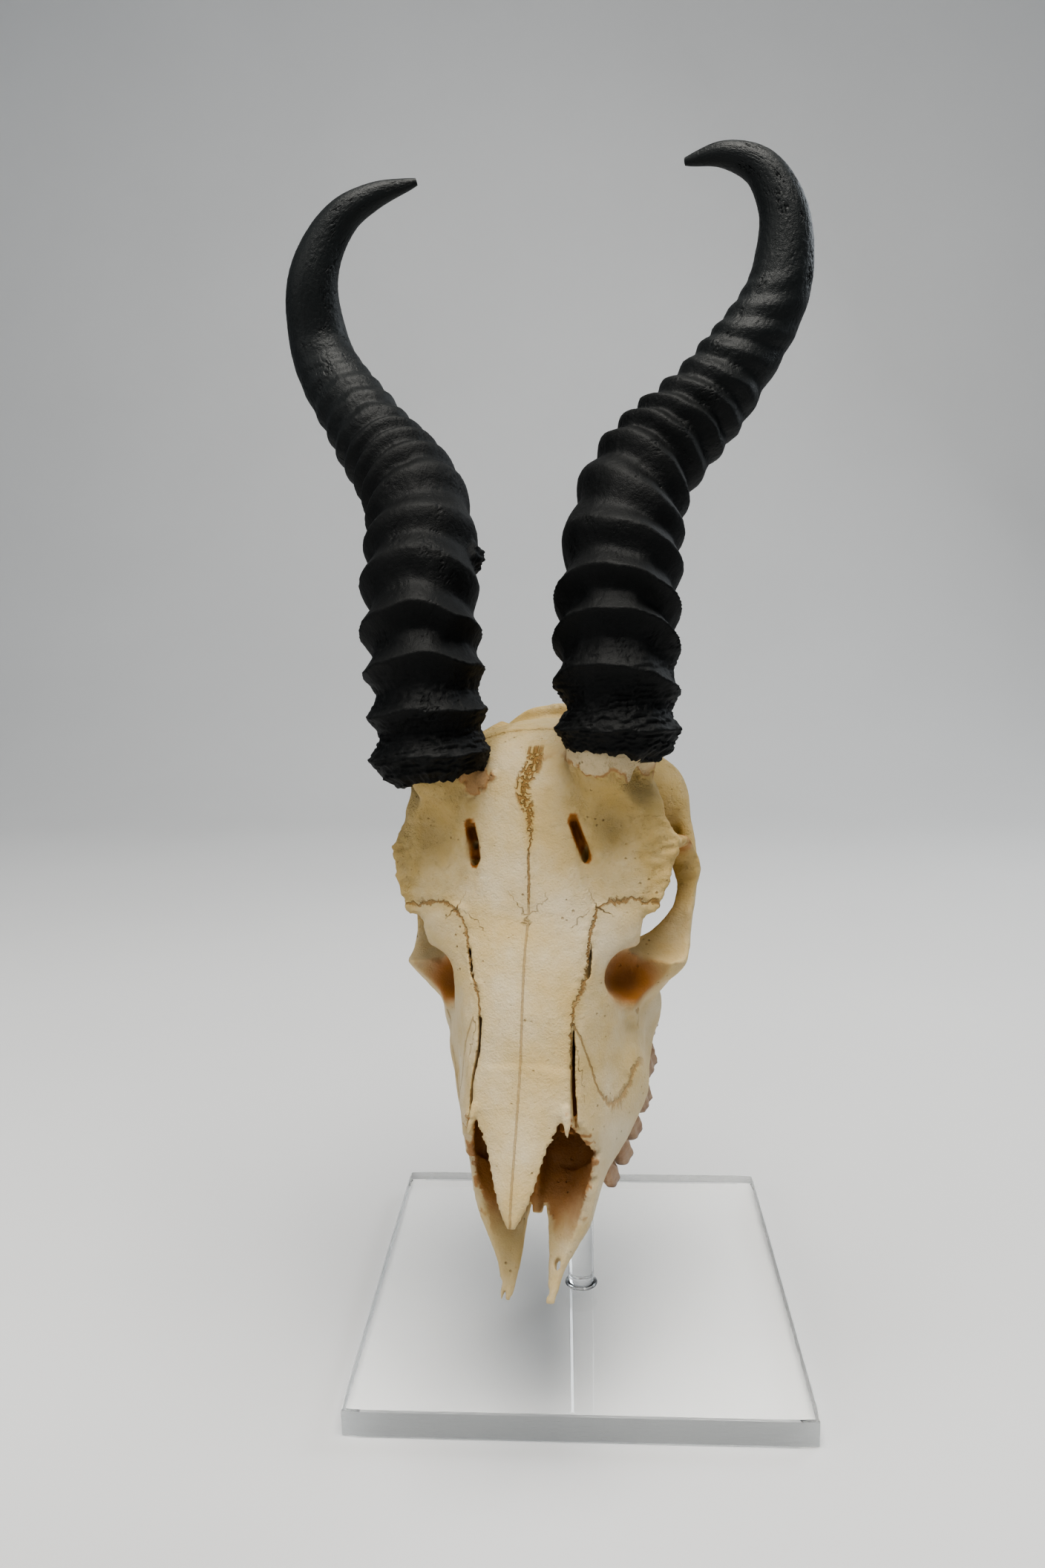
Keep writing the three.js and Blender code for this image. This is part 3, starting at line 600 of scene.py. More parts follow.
def seam_samples():
    """Points on all seams, with their side directions, lengths along, strengths and widths of zigzag."""
    rows = []
    start = 0.0
    for strength, wander, knots in SEAMS.values():
        length = np.linalg.norm(np.diff(knots, axis=0), axis=1).sum()
        line = path(knots, int(length / SEAM_STEP))
        along = np.gradient(line, axis=0)
        side = np.cross(along, (0, 0.5, 1.0))
        side /= np.linalg.norm(side, axis=1)[:, None]
        run = start + np.arange(len(line)) * SEAM_STEP
        fixed = np.repeat([[strength, wander]], len(line), axis=0)
        rows.append(np.column_stack([line, side, run, fixed]))
        start = run[-1] + 20
    return np.concatenate(rows)


def nearest_seam(points, samples):
    """Distance to the nearest seam, and that seam's row, in chunks to spare memory."""
    best = np.empty(len(points), int)
    near = np.empty(len(points))
    for begin in range(0, len(points), 4000):
        part = points[begin:begin + 4000]
        squares = (part * part).sum(1)[:, None] + (samples[:, :3] ** 2).sum(1)[None]
        gaps = squares - 2 * part @ samples[:, :3].T
        best[begin:begin + 4000] = gaps.argmin(1)
        near[begin:begin + 4000] = np.sqrt(np.maximum(gaps.min(1), 0))
    return near, samples[best]


def collar_mask(points):
    """How much of the left horn's torn collar, or the right horn's flake, covers each point."""
    offset = points - COLLAR_BASE
    height = offset @ COLLAR_AXIS
    ragged = -8.5 + 3 * lattice_noise(points, 4.5, 21) + 2 * lattice_noise(points, 1.9, 22)
    ragged += 4 * ramp(offset[:, 0], -2, -14)
    round_the_front = ramp(offset[:, 1] - height * 0.793, 6, 0)
    near = ramp(np.linalg.norm(offset, axis=1), 30, 24)
    collar = ramp(height, ragged, ragged + 0.7) * round_the_front * near
    flake = ramp(np.linalg.norm(points - FLAKE_PLACE, axis=1) + 2 * lattice_noise(points, 2.5, 23), 6.5, 5.8)
    return np.maximum(collar, 0.7 * flake)


def broken_edge(points):
    """How near each point lies to the broken front edge of the nose."""
    near_cut = ramp(np.abs(sample(front_cut.field, clay, np.abs(points))), 1.5, 0.6)
    return near_cut * ramp(points[:, 1], 40, 46) * ramp(np.abs(points[:, 0]), 13.5, 15)


print("seams:", len(SEAMS))

# %% [markdown]
# ## Mesh objects
# Arrays of points and faces become objects, and modifiers are frozen into plain meshes.

# %% Mesh objects


def mesh_object(name, points, faces):
    mesh = bpy.data.meshes.new(name)
    mesh.from_pydata(np.asarray(points).tolist(), [], np.asarray(faces).tolist())
    mesh.update()
    piece = bpy.data.objects.new(name, mesh)
    bpy.context.collection.objects.link(piece)
    return piece


def vertex_array(mesh, field="co"):
    values = np.empty(len(mesh.vertices) * 3, np.float32)
    source = mesh.vertices if field == "co" else mesh.vertex_normals
    source.foreach_get(field if field == "co" else "vector", values)
    return values.reshape(-1, 3).astype(float)


def freeze(piece):
    """Turn a piece and its modifiers into one plain mesh."""
    bpy.context.view_layer.update()
    shaped = piece.evaluated_get(bpy.context.evaluated_depsgraph_get())
    mesh = bpy.data.meshes.new_from_object(shaped)
    piece.modifiers.clear()
    piece.data = mesh
    return mesh


print("mesh helpers ready")

# %% [markdown]
# ## Lifting the surface
# Noise, welts, crust and the torn collar move each point along its normal.
# The upper jaw then leans to one side, and the mesh is thinned.

# %% Lift the surface
TRIANGLES = 190000
BROW_ROUGH, EDGE_ROUGH, CRUST_ROUGH = 0.7, 0.5, 0.4  # mm
WELT_LIFT, COLLAR_LIFT, JAW_LEAN = 0.22, 1.7, 1.8  # mm
points, quads = clay_mesh(whole)
skull = mesh_object("skull_bone", points, quads)
normals = vertex_array(skull.data, "normal")
seam_rows = seam_samples()
BONE_WAVES = [(0.22, 10, 1), (0.12, 4.1, 2), (0.06, 1.6, 3)]  # height and cell in mm, seed
lift = sum(height * lattice_noise(points, cell, seed) for height, cell, seed in BONE_WAVES)
brow = ramp(np.abs(points[:, 0]), 35, 41) * ramp(points[:, 1], 117, 122) * ramp(points[:, 1], 150, 142)
brow *= ramp(points[:, 2], 52, 57)
lift += BROW_ROUGH * brow * lattice_noise(points * (0.35, 1, 1), 1.4, 4)
lift += EDGE_ROUGH * broken_edge(points) * lattice_noise(points, 1.5, 6)
near, rows = nearest_seam(points, seam_rows)
welt = np.exp(-((near - 1.3) / 0.9) ** 2) - 1.4 * np.exp(-((near / 0.6) ** 2))
lift += WELT_LIFT * rows[:, 7] * np.minimum(rows[:, 8], 1) * welt * (1 + 0.6 * lattice_noise(points, 2, 5))
crust = np.exp(-((near / 2.2) ** 2)) * (np.abs(rows[:, 8] - 1) < 0.15) * ramp(points[:, 1], 92, 98)
lift += CRUST_ROUGH * crust * lattice_noise(points, 1.3, 7)
lift += COLLAR_LIFT * collar_mask(points)
moved = points + normals * lift[:, None]
lean = ramp(points[:, 1], 86, 98) * ramp(points[:, 1], 126, 114) * ramp(points[:, 2], 36, 24)
moved[:, 0] -= JAW_LEAN * lean * ramp(np.abs(points[:, 0]), 10, 26)
skull.data.vertices.foreach_set("co", moved.astype(np.float32).ravel())
skull.data.update()
thin = skull.modifiers.new("thin", "DECIMATE")
thin.ratio = min(1.0, TRIANGLES / (2 * len(quads)))
bone_mesh = freeze(skull)
print("skull triangles:", sum(len(p.vertices) - 2 for p in bone_mesh.polygons))

# %% [markdown]
# ## What the surface remembers
# Stain settles along seams and in the nose, and painted shade darkens hollows, tear pits, orbits and nerve
# holes, so each vertex keeps a few numbers for the material.
# How deep a point lies is read from a blurred copy of the clay; deep points get painted shade.
# Each seam stores the distance across it and along it, so the material can draw its fine zigzag sharply.

# %% Vertex numbers for the bone material


def box_blur(block, cells):
    """Average over a cube of this half width, one axis at a time."""
    for axis in range(3):
        margins = [(cells + 1, cells) if i == axis else (0, 0) for i in range(3)]
        total = np.cumsum(np.pad(block, margins), axis=axis)
        upper = np.take(total, range(2 * cells + 1, total.shape[axis]), axis=axis)
        lower = np.take(total, range(0, total.shape[axis] - 2 * cells - 1), axis=axis)
        block = (upper - lower) / (2 * cells + 1)
    return block


def store(mesh, name, values):
    layer = mesh.attributes.new(name, "FLOAT", "POINT")
    layer.data.foreach_set("value", np.asarray(values, np.float32))


BLUR = 7.0
solid = box_blur((whole.field < 0).astype(np.float32), round(BLUR / VOXEL))
points = vertex_array(bone_mesh)
normals = vertex_array(bone_mesh, "normal")
# Painted shade: points deep in hollows are darkened orange-brown and umber, and the top of the head is
# spared.
hollow_shade = ramp(sample(solid, whole, points + normals * 2.5), 0.46, 0.76)
hollow_shade *= 1 - 0.9 * ramp(points[:, 2], 56, 62)
in_passage = sample(nose.field, clay, np.abs(points)) + 1.5 * (normals[:, 2] > 0.5) * (points[:, 1] < 38)
inside_nose = ramp(in_passage, 1.3, 0.3) * ramp(points[:, 1] + 3 * lattice_noise(points, 5, 31), 26, 56)
slot_line = np.concatenate([path(slot, 16)[:, :3] for slot in NERVE_SLOTS])
flattened = (1, 1, 0.3)
to_slot = nearest_seam(points * flattened, slot_line * flattened)[0]
# Painted shade inside the nerve holes.
slot_shade = 0.95 * ramp(to_slot, 2.1, 1.4)
# Painted shade in the tear pit, under its overhanging rim.
tear_pit_shade = np.exp(-((np.linalg.norm((np.abs(points) - (31, 108.5, 41)) / (9, 7.5, 9), axis=1)) ** 2))
# Painted shade on the inner face of the bar behind the orbit.
orbit_shade = np.exp(-((np.linalg.norm((np.abs(points) - (42, 149, 58)) / (9, 5, 11), axis=1)) ** 2))
pores_of_edge = 0.6 * broken_edge(points) * ramp(lattice_noise(points, 1.5, 33), 0.0, 0.4)
# One number for real stain (nose, broken edges) and for painted shade (hollows, tear pits, orbits, nerve
# holes).
stain_and_shade = np.clip(np.maximum.reduce([hollow_shade, 0.7 * inside_nose, 1.5 * tear_pit_shade, orbit_shade, slot_shade, pores_of_edge]), 0, 1)
near, rows = nearest_seam(points, seam_rows)
side = ((points - rows[:, :3]) * rows[:, 3:6]).sum(1)
side = np.where(near < 6, side, np.copysign(8.0, side))
past_end = np.abs(((points - rows[:, :3]) * np.cross((0, 0.45, 0.89), rows[:, 3:6])).sum(1))
fade = ramp(near, 6, 5) * ramp(points[:, 2], 12, 20) * ramp(past_end, 3.0, 1.5)
store(bone_mesh, "stain_and_shade", stain_and_shade)
store(bone_mesh, "seam_side", side)
store(bone_mesh, "seam_along", rows[:, 6])
store(bone_mesh, "seam_strength", rows[:, 7] * fade)
store(bone_mesh, "seam_wander", rows[:, 8] * ramp(points[:, 1], 134, 158) + np.minimum(rows[:, 8], 0.9) * 0.5)
store(bone_mesh, "collar", collar_mask(points))
yellow = ramp(points[:, 1], 108, 150) * ramp(np.abs(points[:, 0]), 4, 22) + 0.6 * ramp(points[:, 1], 160, 180)
rim = ramp(np.abs(points[:, 0]), 33, 40) * ramp(points[:, 1], 112, 118) * ramp(points[:, 1], 150, 143)
yellow = yellow + 0.5 * rim * ramp(points[:, 2], 48, 54)
store(bone_mesh, "yellow", np.clip(yellow, 0, 1))
bone_mesh.vertices.foreach_set("co", to_frame(points).astype(np.float32).ravel())
bone_mesh.polygons.foreach_set("use_smooth", np.ones(len(bone_mesh.polygons), bool))
bone_mesh.update()
print("deepest stain:", round(float(stain_and_shade.max()), 2), "mean:", round(float(stain_and_shade.mean()), 2))

# %% [markdown]
# ## Arithmetic with nodes
# Horns and materials are both drawn by node trees, and both need much arithmetic.
# A small class lets ordinary signs build the Math nodes, so a rule reads like a formula.

# %% Node arithmetic


class Wire:
    """A value in a node tree; arithmetic on it adds Math nodes."""

    def __init__(self, tree, socket):
        self.tree, self.socket = tree, socket

    def math(self, operation, *others):
        node = self.tree.nodes.new("ShaderNodeMath")
        node.operation = operation
        for index, item in enumerate((self, *others)):
            plug(self.tree, item, node.inputs[index])
        return Wire(self.tree, node.outputs[0])

    def __add__(self, other):
        return self.math("ADD", other)

    def __sub__(self, other):
        return self.math("SUBTRACT", other)

    def __mul__(self, other):
        return self.math("MULTIPLY", other)

    def __truediv__(self, other):
        return self.math("DIVIDE", other)

    def __neg__(self):
        return self.math("MULTIPLY", -1.0)

    __radd__ = __add__
    __rmul__ = __mul__

    def __rsub__(self, other):
        return (-self) + other

    def ramp(self, low, high, start=0.0, end=1.0):
        node = self.tree.nodes.new("ShaderNodeMapRange")
        node.interpolation_type = "SMOOTHSTEP"
        for index, item in enumerate((self, low, high, start, end)):
            plug(self.tree, item, node.inputs[index])
        return Wire(self.tree, node.outputs[0])

    def vector(self, operation, *others):
        node = self.tree.nodes.new("ShaderNodeVectorMath")
        node.operation = operation
        slots = [s for s in node.inputs if s.enabled]
        for index, item in enumerate((self, *others)):
            plug(self.tree, item, slots[index])
        return Wire(self.tree, [s for s in node.outputs if s.enabled][0])


def plug(tree, item, socket):
    """Link a wire, or set a plain value."""
    if isinstance(item, Wire):
        tree.links.new(item.socket, socket)
    else:
        socket.default_value = item


print("node arithmetic ready")

# %% [markdown]
# ## Common node pieces
# Noise, stored vertex numbers, colour blends and bumps serve more than one tree.

# %% Noise and material helpers


def noise(tree, vector, scale, w=0.0, detail=2.0, roughness=0.5):
    """Noise from about -1 to 1; w picks a different pattern or carries a fourth coordinate."""
    node = tree.nodes.new("ShaderNodeTexNoise")
    node.noise_dimensions = "4D"
    plug(tree, vector, node.inputs["Vector"])
    plug(tree, w, node.inputs["W"])
    node.inputs["Scale"].default_value = scale
    node.inputs["Detail"].default_value = detail
    node.inputs["Roughness"].default_value = roughness
    return Wire(tree, node.outputs[0]) * 2.0 - 1.0


def attribute(tree, name):
    node = tree.nodes.new("ShaderNodeAttribute")
    node.attribute_name = name
    return Wire(tree, node.outputs["Fac"])


def millimetres(tree):
    """Object coordinates in millimetres."""
    source = tree.nodes.new("ShaderNodeTexCoord")
    node = tree.nodes.new("ShaderNodeMapping")
    node.inputs["Scale"].default_value = (1000, 1000, 1000)
    tree.links.new(source.outputs["Object"], node.inputs["Vector"])
    return Wire(tree, node.outputs[0])


def blend_colour(tree, share, first, second):
    node = tree.nodes.new("ShaderNodeMix")
    node.data_type = "RGBA"
    plug(tree, share, node.inputs["Factor"])
    plug(tree, first, [s for s in node.inputs if s.name == "A" and s.type == "RGBA"][0])
    plug(tree, second, [s for s in node.inputs if s.name == "B" and s.type == "RGBA"][0])
    return Wire(tree, [s for s in node.outputs if s.type == "RGBA"][0])


def effect_group(name, outputs):
    """A shader group with these output sockets, and its output node."""
    tree = bpy.data.node_groups.new(name, "ShaderNodeTree")
    for socket, kind in outputs.items():
        tree.interface.new_socket(socket, in_out="OUTPUT", socket_type=kind)
    return tree, tree.nodes.new("NodeGroupOutput")


def material_with(name, group=None):
    """A Principled material and, if asked for, a group node inside it."""
    material = bpy.data.materials.new(name)
    material.use_nodes = True
    tree = material.node_tree
    shader = tree.nodes["Principled BSDF"]
    if group is None:
        return material, tree, shader, None
    node = tree.nodes.new("ShaderNodeGroup")
    node.node_tree = group
    return material, tree, shader, node


def bump(tree, shader, height, distance, strength=1.0):
    node = tree.nodes.new("ShaderNodeBump")
    node.inputs["Strength"].default_value = strength
    node.inputs["Distance"].default_value = distance
    tree.links.new(height, node.inputs["Height"])
    tree.links.new(node.outputs["Normal"], shader.inputs["Normal"])


print("node helpers ready")

# %% [markdown]
# ## Bone
# Clean dry bone is cream on the forehead and whiter on the nose.
# It is stained orange-brown wherever fat or earth stayed: in the nose and the seams. The tear pits, orbits,
# nerve holes and deep hollows get painted orange-brown and umber shade, and the collar's ragged edge gets a
# painted amber shadow.
# Tiny pores and worm-like roughness break up the shine.

# %% Bone material
SEAM_WIDTH = 0.22
tree, out = effect_group("bone_surface", {"Colour": "NodeSocketColor", "Height": "NodeSocketFloat"})
place = millimetres(tree)
# Real stain and painted shade, read from the vertex number.
stain_and_shade_wire = attribute(tree, "stain_and_shade")
along = attribute(tree, "seam_along")
wander = attribute(tree, "seam_wander")
across = attribute(tree, "seam_side")
spot = tree.nodes.new("ShaderNodeCombineXYZ")
tree.links.new(along.socket, spot.inputs["X"])
line_place = Wire(tree, spot.outputs[0])
shift = noise(tree, line_place, 0.6, 3.0, 3.0, 0.65) * wander.math("MINIMUM", 0.9) * 3.0
seam_line = (across - shift).math("ABSOLUTE").ramp(SEAM_WIDTH * 0.4, SEAM_WIDTH * 2.2, 1.0, 0.0)
tree.links.new(across.socket, spot.inputs["Y"])
band = (across.math("ABSOLUTE") / (wander + 0.1)).ramp(0.55, 1.0, 1.0, 0.0) * wander.ramp(0.9, 1.8)
loops = noise(tree, line_place, 0.46, 17.0, 1.5, 0.6).math("ABSOLUTE").ramp(0.04, 0.17, 1.0, 0.0)
seam_line = seam_line.math("MAXIMUM", loops * band)
seam_breaks = noise(tree, place, 0.25, 5.0).ramp(-0.75, -0.1, 0.35, 1.0)
seam_line = seam_line * attribute(tree, "seam_strength") * seam_breaks
halo = across.math("ABSOLUTE").ramp(0.3, 3.2, 1.0, 0.0) * attribute(tree, "seam_strength")
halo = halo * wander.ramp(0.3, 1.0, 0.35, 1.0) + band * 0.5
cloud = noise(tree, place, 0.045, 1.0, 4.0, 0.6)
mottle = noise(tree, place, 0.22, 2.0, 5.0, 0.7)
grain = noise(tree, place, 1.5, 4.0, 3.0, 0.6)
pores = tree.nodes.new("ShaderNodeTexVoronoi")
pores.inputs["Scale"].default_value = 0.36
tree.links.new(place.socket, pores.inputs["Vector"])
pore_patches = noise(tree, place, 0.09, 8.0).ramp(-0.05, 0.3)
pore = Wire(tree, pores.outputs["Distance"]).ramp(0.06, 0.17, 1.0, 0.0) * pore_patches
cream = (0.61, 0.465, 0.235, 1)
chalk = (0.69, 0.60, 0.43, 1)
butter = (0.52, 0.37, 0.14, 1)
amber = (0.36, 0.13, 0.02, 1)
umber = (0.11, 0.036, 0.006, 1)
colour = blend_colour(tree, cloud.ramp(-0.4, 0.5), cream, chalk)
yellow_share = attribute(tree, "yellow") * 0.75 + mottle * 0.35 + cloud * 0.2
colour = blend_colour(tree, yellow_share.ramp(0.1, 0.95, 0.0, 0.85), colour, butter)
colour = blend_colour(tree, attribute(tree, "collar") * 0.7, colour, (0.68, 0.57, 0.39, 1))
# Painted shadow: amber along the collar's ragged edge, under the lifted rim.
collar_edge_shade = attribute(tree, "collar") * (1.0 - attribute(tree, "collar")) * 4.0
colour = blend_colour(tree, collar_edge_shade * 0.6, colour, amber)
colour = blend_colour(tree, halo * 0.55, colour, butter)
# Orange-brown, then umber, where the number carries stain or painted shade.
colour = blend_colour(tree, (stain_and_shade_wire + mottle * 0.12).ramp(0.1, 0.85, 0.0, 0.92), colour, amber)
colour = blend_colour(tree, (stain_and_shade_wire + cloud * 0.2).ramp(0.7, 1.15, 0.0, 0.85), colour, umber)
colour = blend_colour(tree, seam_line * 0.8, colour, (0.30, 0.16, 0.05, 1))
colour = blend_colour(tree, pore * 0.55, colour, (0.28, 0.17, 0.07, 1))
speckle = noise(tree, place, 0.5, 21.0, 4.0, 0.8).ramp(0.0, 0.6) * (attribute(tree, "yellow") * 0.7 + 0.3)
colour = blend_colour(tree, speckle * 0.45, colour, (0.40, 0.285, 0.115, 1))
worm = noise(tree, place, 0.7, 12.0, 2.0, 0.5).math("ABSOLUTE").ramp(0.0, 0.25, 1.0, 0.0)
worm = worm * noise(tree, place, 0.05, 14.0, 2.0).ramp(0.0, 0.4) * attribute(tree, "yellow")
colour = blend_colour(tree, worm * 0.25, colour, (0.55, 0.40, 0.18, 1))
height = grain * 0.25 + mottle * 0.5 - seam_line * 0.9 - pore * 0.8 - worm * 0.7 - speckle * 0.5
tree.links.new(colour.socket, out.inputs["Colour"])
tree.links.new(height.socket, out.inputs["Height"])
bone, tree, shader, node = material_with("bone", tree)
tree.links.new(node.outputs["Colour"], shader.inputs["Base Color"])
shader.inputs["Roughness"].default_value = 0.58
shader.inputs["Specular IOR Level"].default_value = 0.35
shader.inputs["Subsurface Weight"].default_value = 0.12
shader.inputs["Subsurface Radius"].default_value = (1.0, 0.6, 0.35)
shader.inputs["Subsurface Scale"].default_value = 0.002
bump(tree, shader, node.outputs["Height"], 0.0006)
skull.data.materials.clear()
skull.data.materials.append(bone)
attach(skull, "root")
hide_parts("skull")
print("bone material nodes:", len(node.node_tree.nodes))

# %% [markdown]
# ## The horn sheaths
# A sheath of keratin grows from its base, one ring after another, around a bone core.
# A rule fits it well: a tube along a curve, whose radius falls and whose rings follow the length.
# So one Geometry Nodes tree makes both horns from two curves.
# Each ring leans ahead, toward where the horn will bend.

# %% Horn tree
HORN_LENGTH = 280.0
HORN_RADIUS = 20.0
RADIUS_POINTS = [
    (0, 18.9), (0.2, 18.8), (0.3, 18.2), (0.374, 17.3), (0.47, 15.7), (0.52, 14.7), (0.65, 12.1), (0.77, 9.5),
    (0.83, 7.8), (0.89, 6), (0.945, 4.1), (0.975, 2.7), (0.99, 1.9), (1, 1.2),
]
RING_COUNT = 24
RING_CRESTS = [9, 21.5, 34.5, 47, 63, 80, 96, 108, 119, 129, 139, 149, 158.5, 168, 177, 186]


def curve_node(tree, value, points):
    """A drawn curve through points, both from 0 to 1."""
    node = tree.nodes.new("ShaderNodeFloatCurve")
    line = node.mapping.curves[0]
    line.points[0].location = points[0]
    line.points[1].location = points[-1]
    for point in points[1:-1]:
        line.points.new(*point)
    node.mapping.update()
    plug(tree, value, node.inputs["Value"])
    return Wire(tree, node.outputs[0])


def horn_tree():
    tree = bpy.data.node_groups.new("ringed_horn", "GeometryNodeTree")
    face = tree.interface
    face.new_socket("Geometry", in_out="INPUT", socket_type="NodeSocketGeometry")
    for name in ("Steps", "Sides"):
        face.new_socket(name, in_out="INPUT", socket_type="NodeSocketInt")
    for name in ("Ring Height", "Ring Lead", "Flaking", "Cracks", "Seed", "Knob Height", "Knob Place"):
        face.new_socket(name, in_out="INPUT", socket_type="NodeSocketFloat")
    for name in ("Front", "Knob Side"):
        face.new_socket(name, in_out="INPUT", socket_type="NodeSocketVector")
    face.new_socket("Material", in_out="INPUT", socket_type="NodeSocketMaterial")
    face.new_socket("Geometry", in_out="OUTPUT", socket_type="NodeSocketGeometry")
    given = tree.nodes.new("NodeGroupInput").outputs
    done = tree.nodes.new("NodeGroupOutput")
    link = tree.links.new
    new = tree.nodes.new

    def wire(name):
        return Wire(tree, given[name])

    to_curve = new("GeometryNodeMeshToCurve")
    link(given["Geometry"], to_curve.inputs[0])
    resample = new("GeometryNodeResampleCurve")
    link(to_curve.outputs[0], resample.inputs["Curve"])
    link(given["Steps"], resample.inputs["Count"])
    parameter = new("GeometryNodeSplineParameter")
    ahead = new("GeometryNodeSampleCurve")
    ahead.mode = "LENGTH"
    link(to_curve.outputs[0], ahead.inputs[0])
    lead = Wire(tree, parameter.outputs["Length"]) + wire("Ring Lead")
    link(lead.socket, ahead.inputs["Length"])
    keep = new("GeometryNodeCaptureAttribute")
    vectors = [("VECTOR", name) for name in ("Axis", "Tangent", "Ahead")]
    for kind, name in (*vectors, ("FLOAT", "Length"), ("FLOAT", "Share")):
        keep.capture_items.new(kind, name)
    link(resample.outputs[0], keep.inputs["Geometry"])
    link(new("GeometryNodeInputPosition").outputs[0], keep.inputs["Axis"])
    link(new("GeometryNodeInputTangent").outputs[0], keep.inputs["Tangent"])
    link(ahead.outputs["Tangent"], keep.inputs["Ahead"])
    link(parameter.outputs["Length"], keep.inputs["Length"])
    link(parameter.outputs["Factor"], keep.inputs["Share"])
    circle = new("GeometryNodeCurvePrimitiveCircle")
    link(given["Sides"], circle.inputs["Resolution"])
    circle.inputs["Radius"].default_value = 1.0
    sweep = new("GeometryNodeCurveToMesh")
    link(keep.outputs["Geometry"], sweep.inputs["Curve"])
    link(circle.outputs[0], sweep.inputs["Profile Curve"])
    sweep.inputs["Fill Caps"].default_value = True

    axis, tangent = Wire(tree, keep.outputs["Axis"]), Wire(tree, keep.outputs["Tangent"])
    plane = Wire(tree, keep.outputs["Ahead"])
    length, share = Wire(tree, keep.outputs["Length"]), Wire(tree, keep.outputs["Share"])
    spot = Wire(tree, new("GeometryNodeInputPosition").outputs[0])
    outward = spot.vector("SUBTRACT", axis).vector("NORMALIZE")
    seed = wire("Seed")
    radius = curve_node(tree, share, [(x, r / HORN_RADIUS) for x, r in RADIUS_POINTS]) * HORN_RADIUS
    front = outward.vector("DOT_PRODUCT", wire("Front"))
    lean = outward.vector("DOT_PRODUCT", plane) * radius / tangent.vector("DOT_PRODUCT", plane)
    warp = noise(tree, outward, 1.1, seed + length * 0.02, 1.0) * 3.2
    ring_place = length + lean + warp * length.ramp(5.0, 50.0, 0.5, 1.0)
    crests = [(at / HORN_LENGTH, (index + 0.5) / RING_COUNT) for index, at in enumerate(RING_CRESTS)]
    turns = curve_node(tree, ring_place / HORN_LENGTH, [(0, 0.002)] + crests + [(1, 1)]) * RING_COUNT
    wave = (turns * math.pi).math("SINE").math("ABSOLUTE")
    sharp = 1.0 - (turns * math.pi).math("COSINE").math("ABSOLUTE").math("POWER", 0.8)
    round_crest = wave.math("POWER", 1.6)
    crest = sharp + (round_crest - sharp) * length.ramp(35.0, 80.0, 0.25, 0.85)
    fade = length.ramp(90.0, 195.0, 1.0, 0.0) * front.ramp(-1.0, 0.6, 0.35, 1.0)
    fade = fade * (1.0 + noise(tree, outward, 1.3, seed + 7.0 + length * 0.04) * 0.5)
    grow = (crest - 0.8) * wire("Ring Height") * fade * length.ramp(40.0, 75.0, 1.5, 1.0)
    fibre = noise(tree, outward, 13.0, seed + length * 0.035, 3.0, 0.65)
    crack = noise(tree, outward, 13.0, seed + 31.0 + length * 0.045, 1.0)
    crack = crack.math("ABSOLUTE").ramp(0.0, 0.07, 1.0, 0.0)
    crack = crack * noise(tree, outward, 2.0, seed + 3.0 + length * 0.05).ramp(0.0, 0.4)
    layers = noise(tree, outward, 0.8, seed + 50.0 + length * 0.8, 4.0, 0.7)
    flaky = length.ramp(8.0, 50.0, 1.0, 0.0) * wire("Flaking")
    torn = layers.math("ABSOLUTE").ramp(0.0, 0.12, 1.0, 0.0)
    grow = grow + fibre * 0.28 - crack * wire("Cracks") + layers * flaky * 1.1 - torn * flaky * 0.8
    knob = outward.vector("DOT_PRODUCT", wire("Knob Side")).ramp(0.93, 0.995)
    knob = knob * (length - wire("Knob Place")).math("ABSOLUTE").ramp(5.0, 1.0)
    grow = grow + knob * wire("Knob Height") * (1.0 + fibre)
    grow = grow * radius.ramp(1.5, 8.0, 0.05, 1.0)
    lip = length.ramp(0.0, 3.5, -3.4, 0.0)
    size = radius + grow + lip
    size = size.math("MAXIMUM", radius * 0.5)
    hang = noise(tree, outward, 2.6, seed + 70.0, 3.0, 0.7) * 3.2 * length.ramp(0.0, 14.0, 1.0, 0.0)
    moved = outward.vector("SCALE", size).vector("ADD", tangent.vector("SCALE", hang)).vector("ADD", axis)
    put = new("GeometryNodeSetPosition")
    link(sweep.outputs[0], put.inputs["Geometry"])
    link(moved.socket, put.inputs["Position"])
    keep_number = put
    for name, value in (("along", length), ("crack", crack), ("crest", crest * fade)):
        named = new("GeometryNodeStoreNamedAttribute")
        named.data_type = "FLOAT"
        named.domain = "POINT"
        named.inputs["Name"].default_value = name
        link(keep_number.outputs[0], named.inputs["Geometry"])
        link(value.socket, [s for s in named.inputs if s.name == "Value" and s.enabled][0])
        keep_number = named
    shade = new("GeometryNodeSetShadeSmooth")
    link(keep_number.outputs[0], shade.inputs[0])
    realize = new("GeometryNodeRealizeInstances")
    link(shade.outputs[0], realize.inputs[0])
    paint = new("GeometryNodeSetMaterial")
    link(realize.outputs[0], paint.inputs["Geometry"])
    link(given["Material"], paint.inputs["Material"])
    link(paint.outputs[0], done.inputs[0])
    return tree


ringed_horn = horn_tree()
print("horn tree nodes:", len(ringed_horn.nodes))

# %% [markdown]
# ## Horn material
# Old keratin is almost black, with a blue-grey sheen where light grazes it.
# Fine fibres run along the horn; the horn tree shapes them from the length along it, so they bend with it.
# The material reads the stored lengths, cracks and crests.

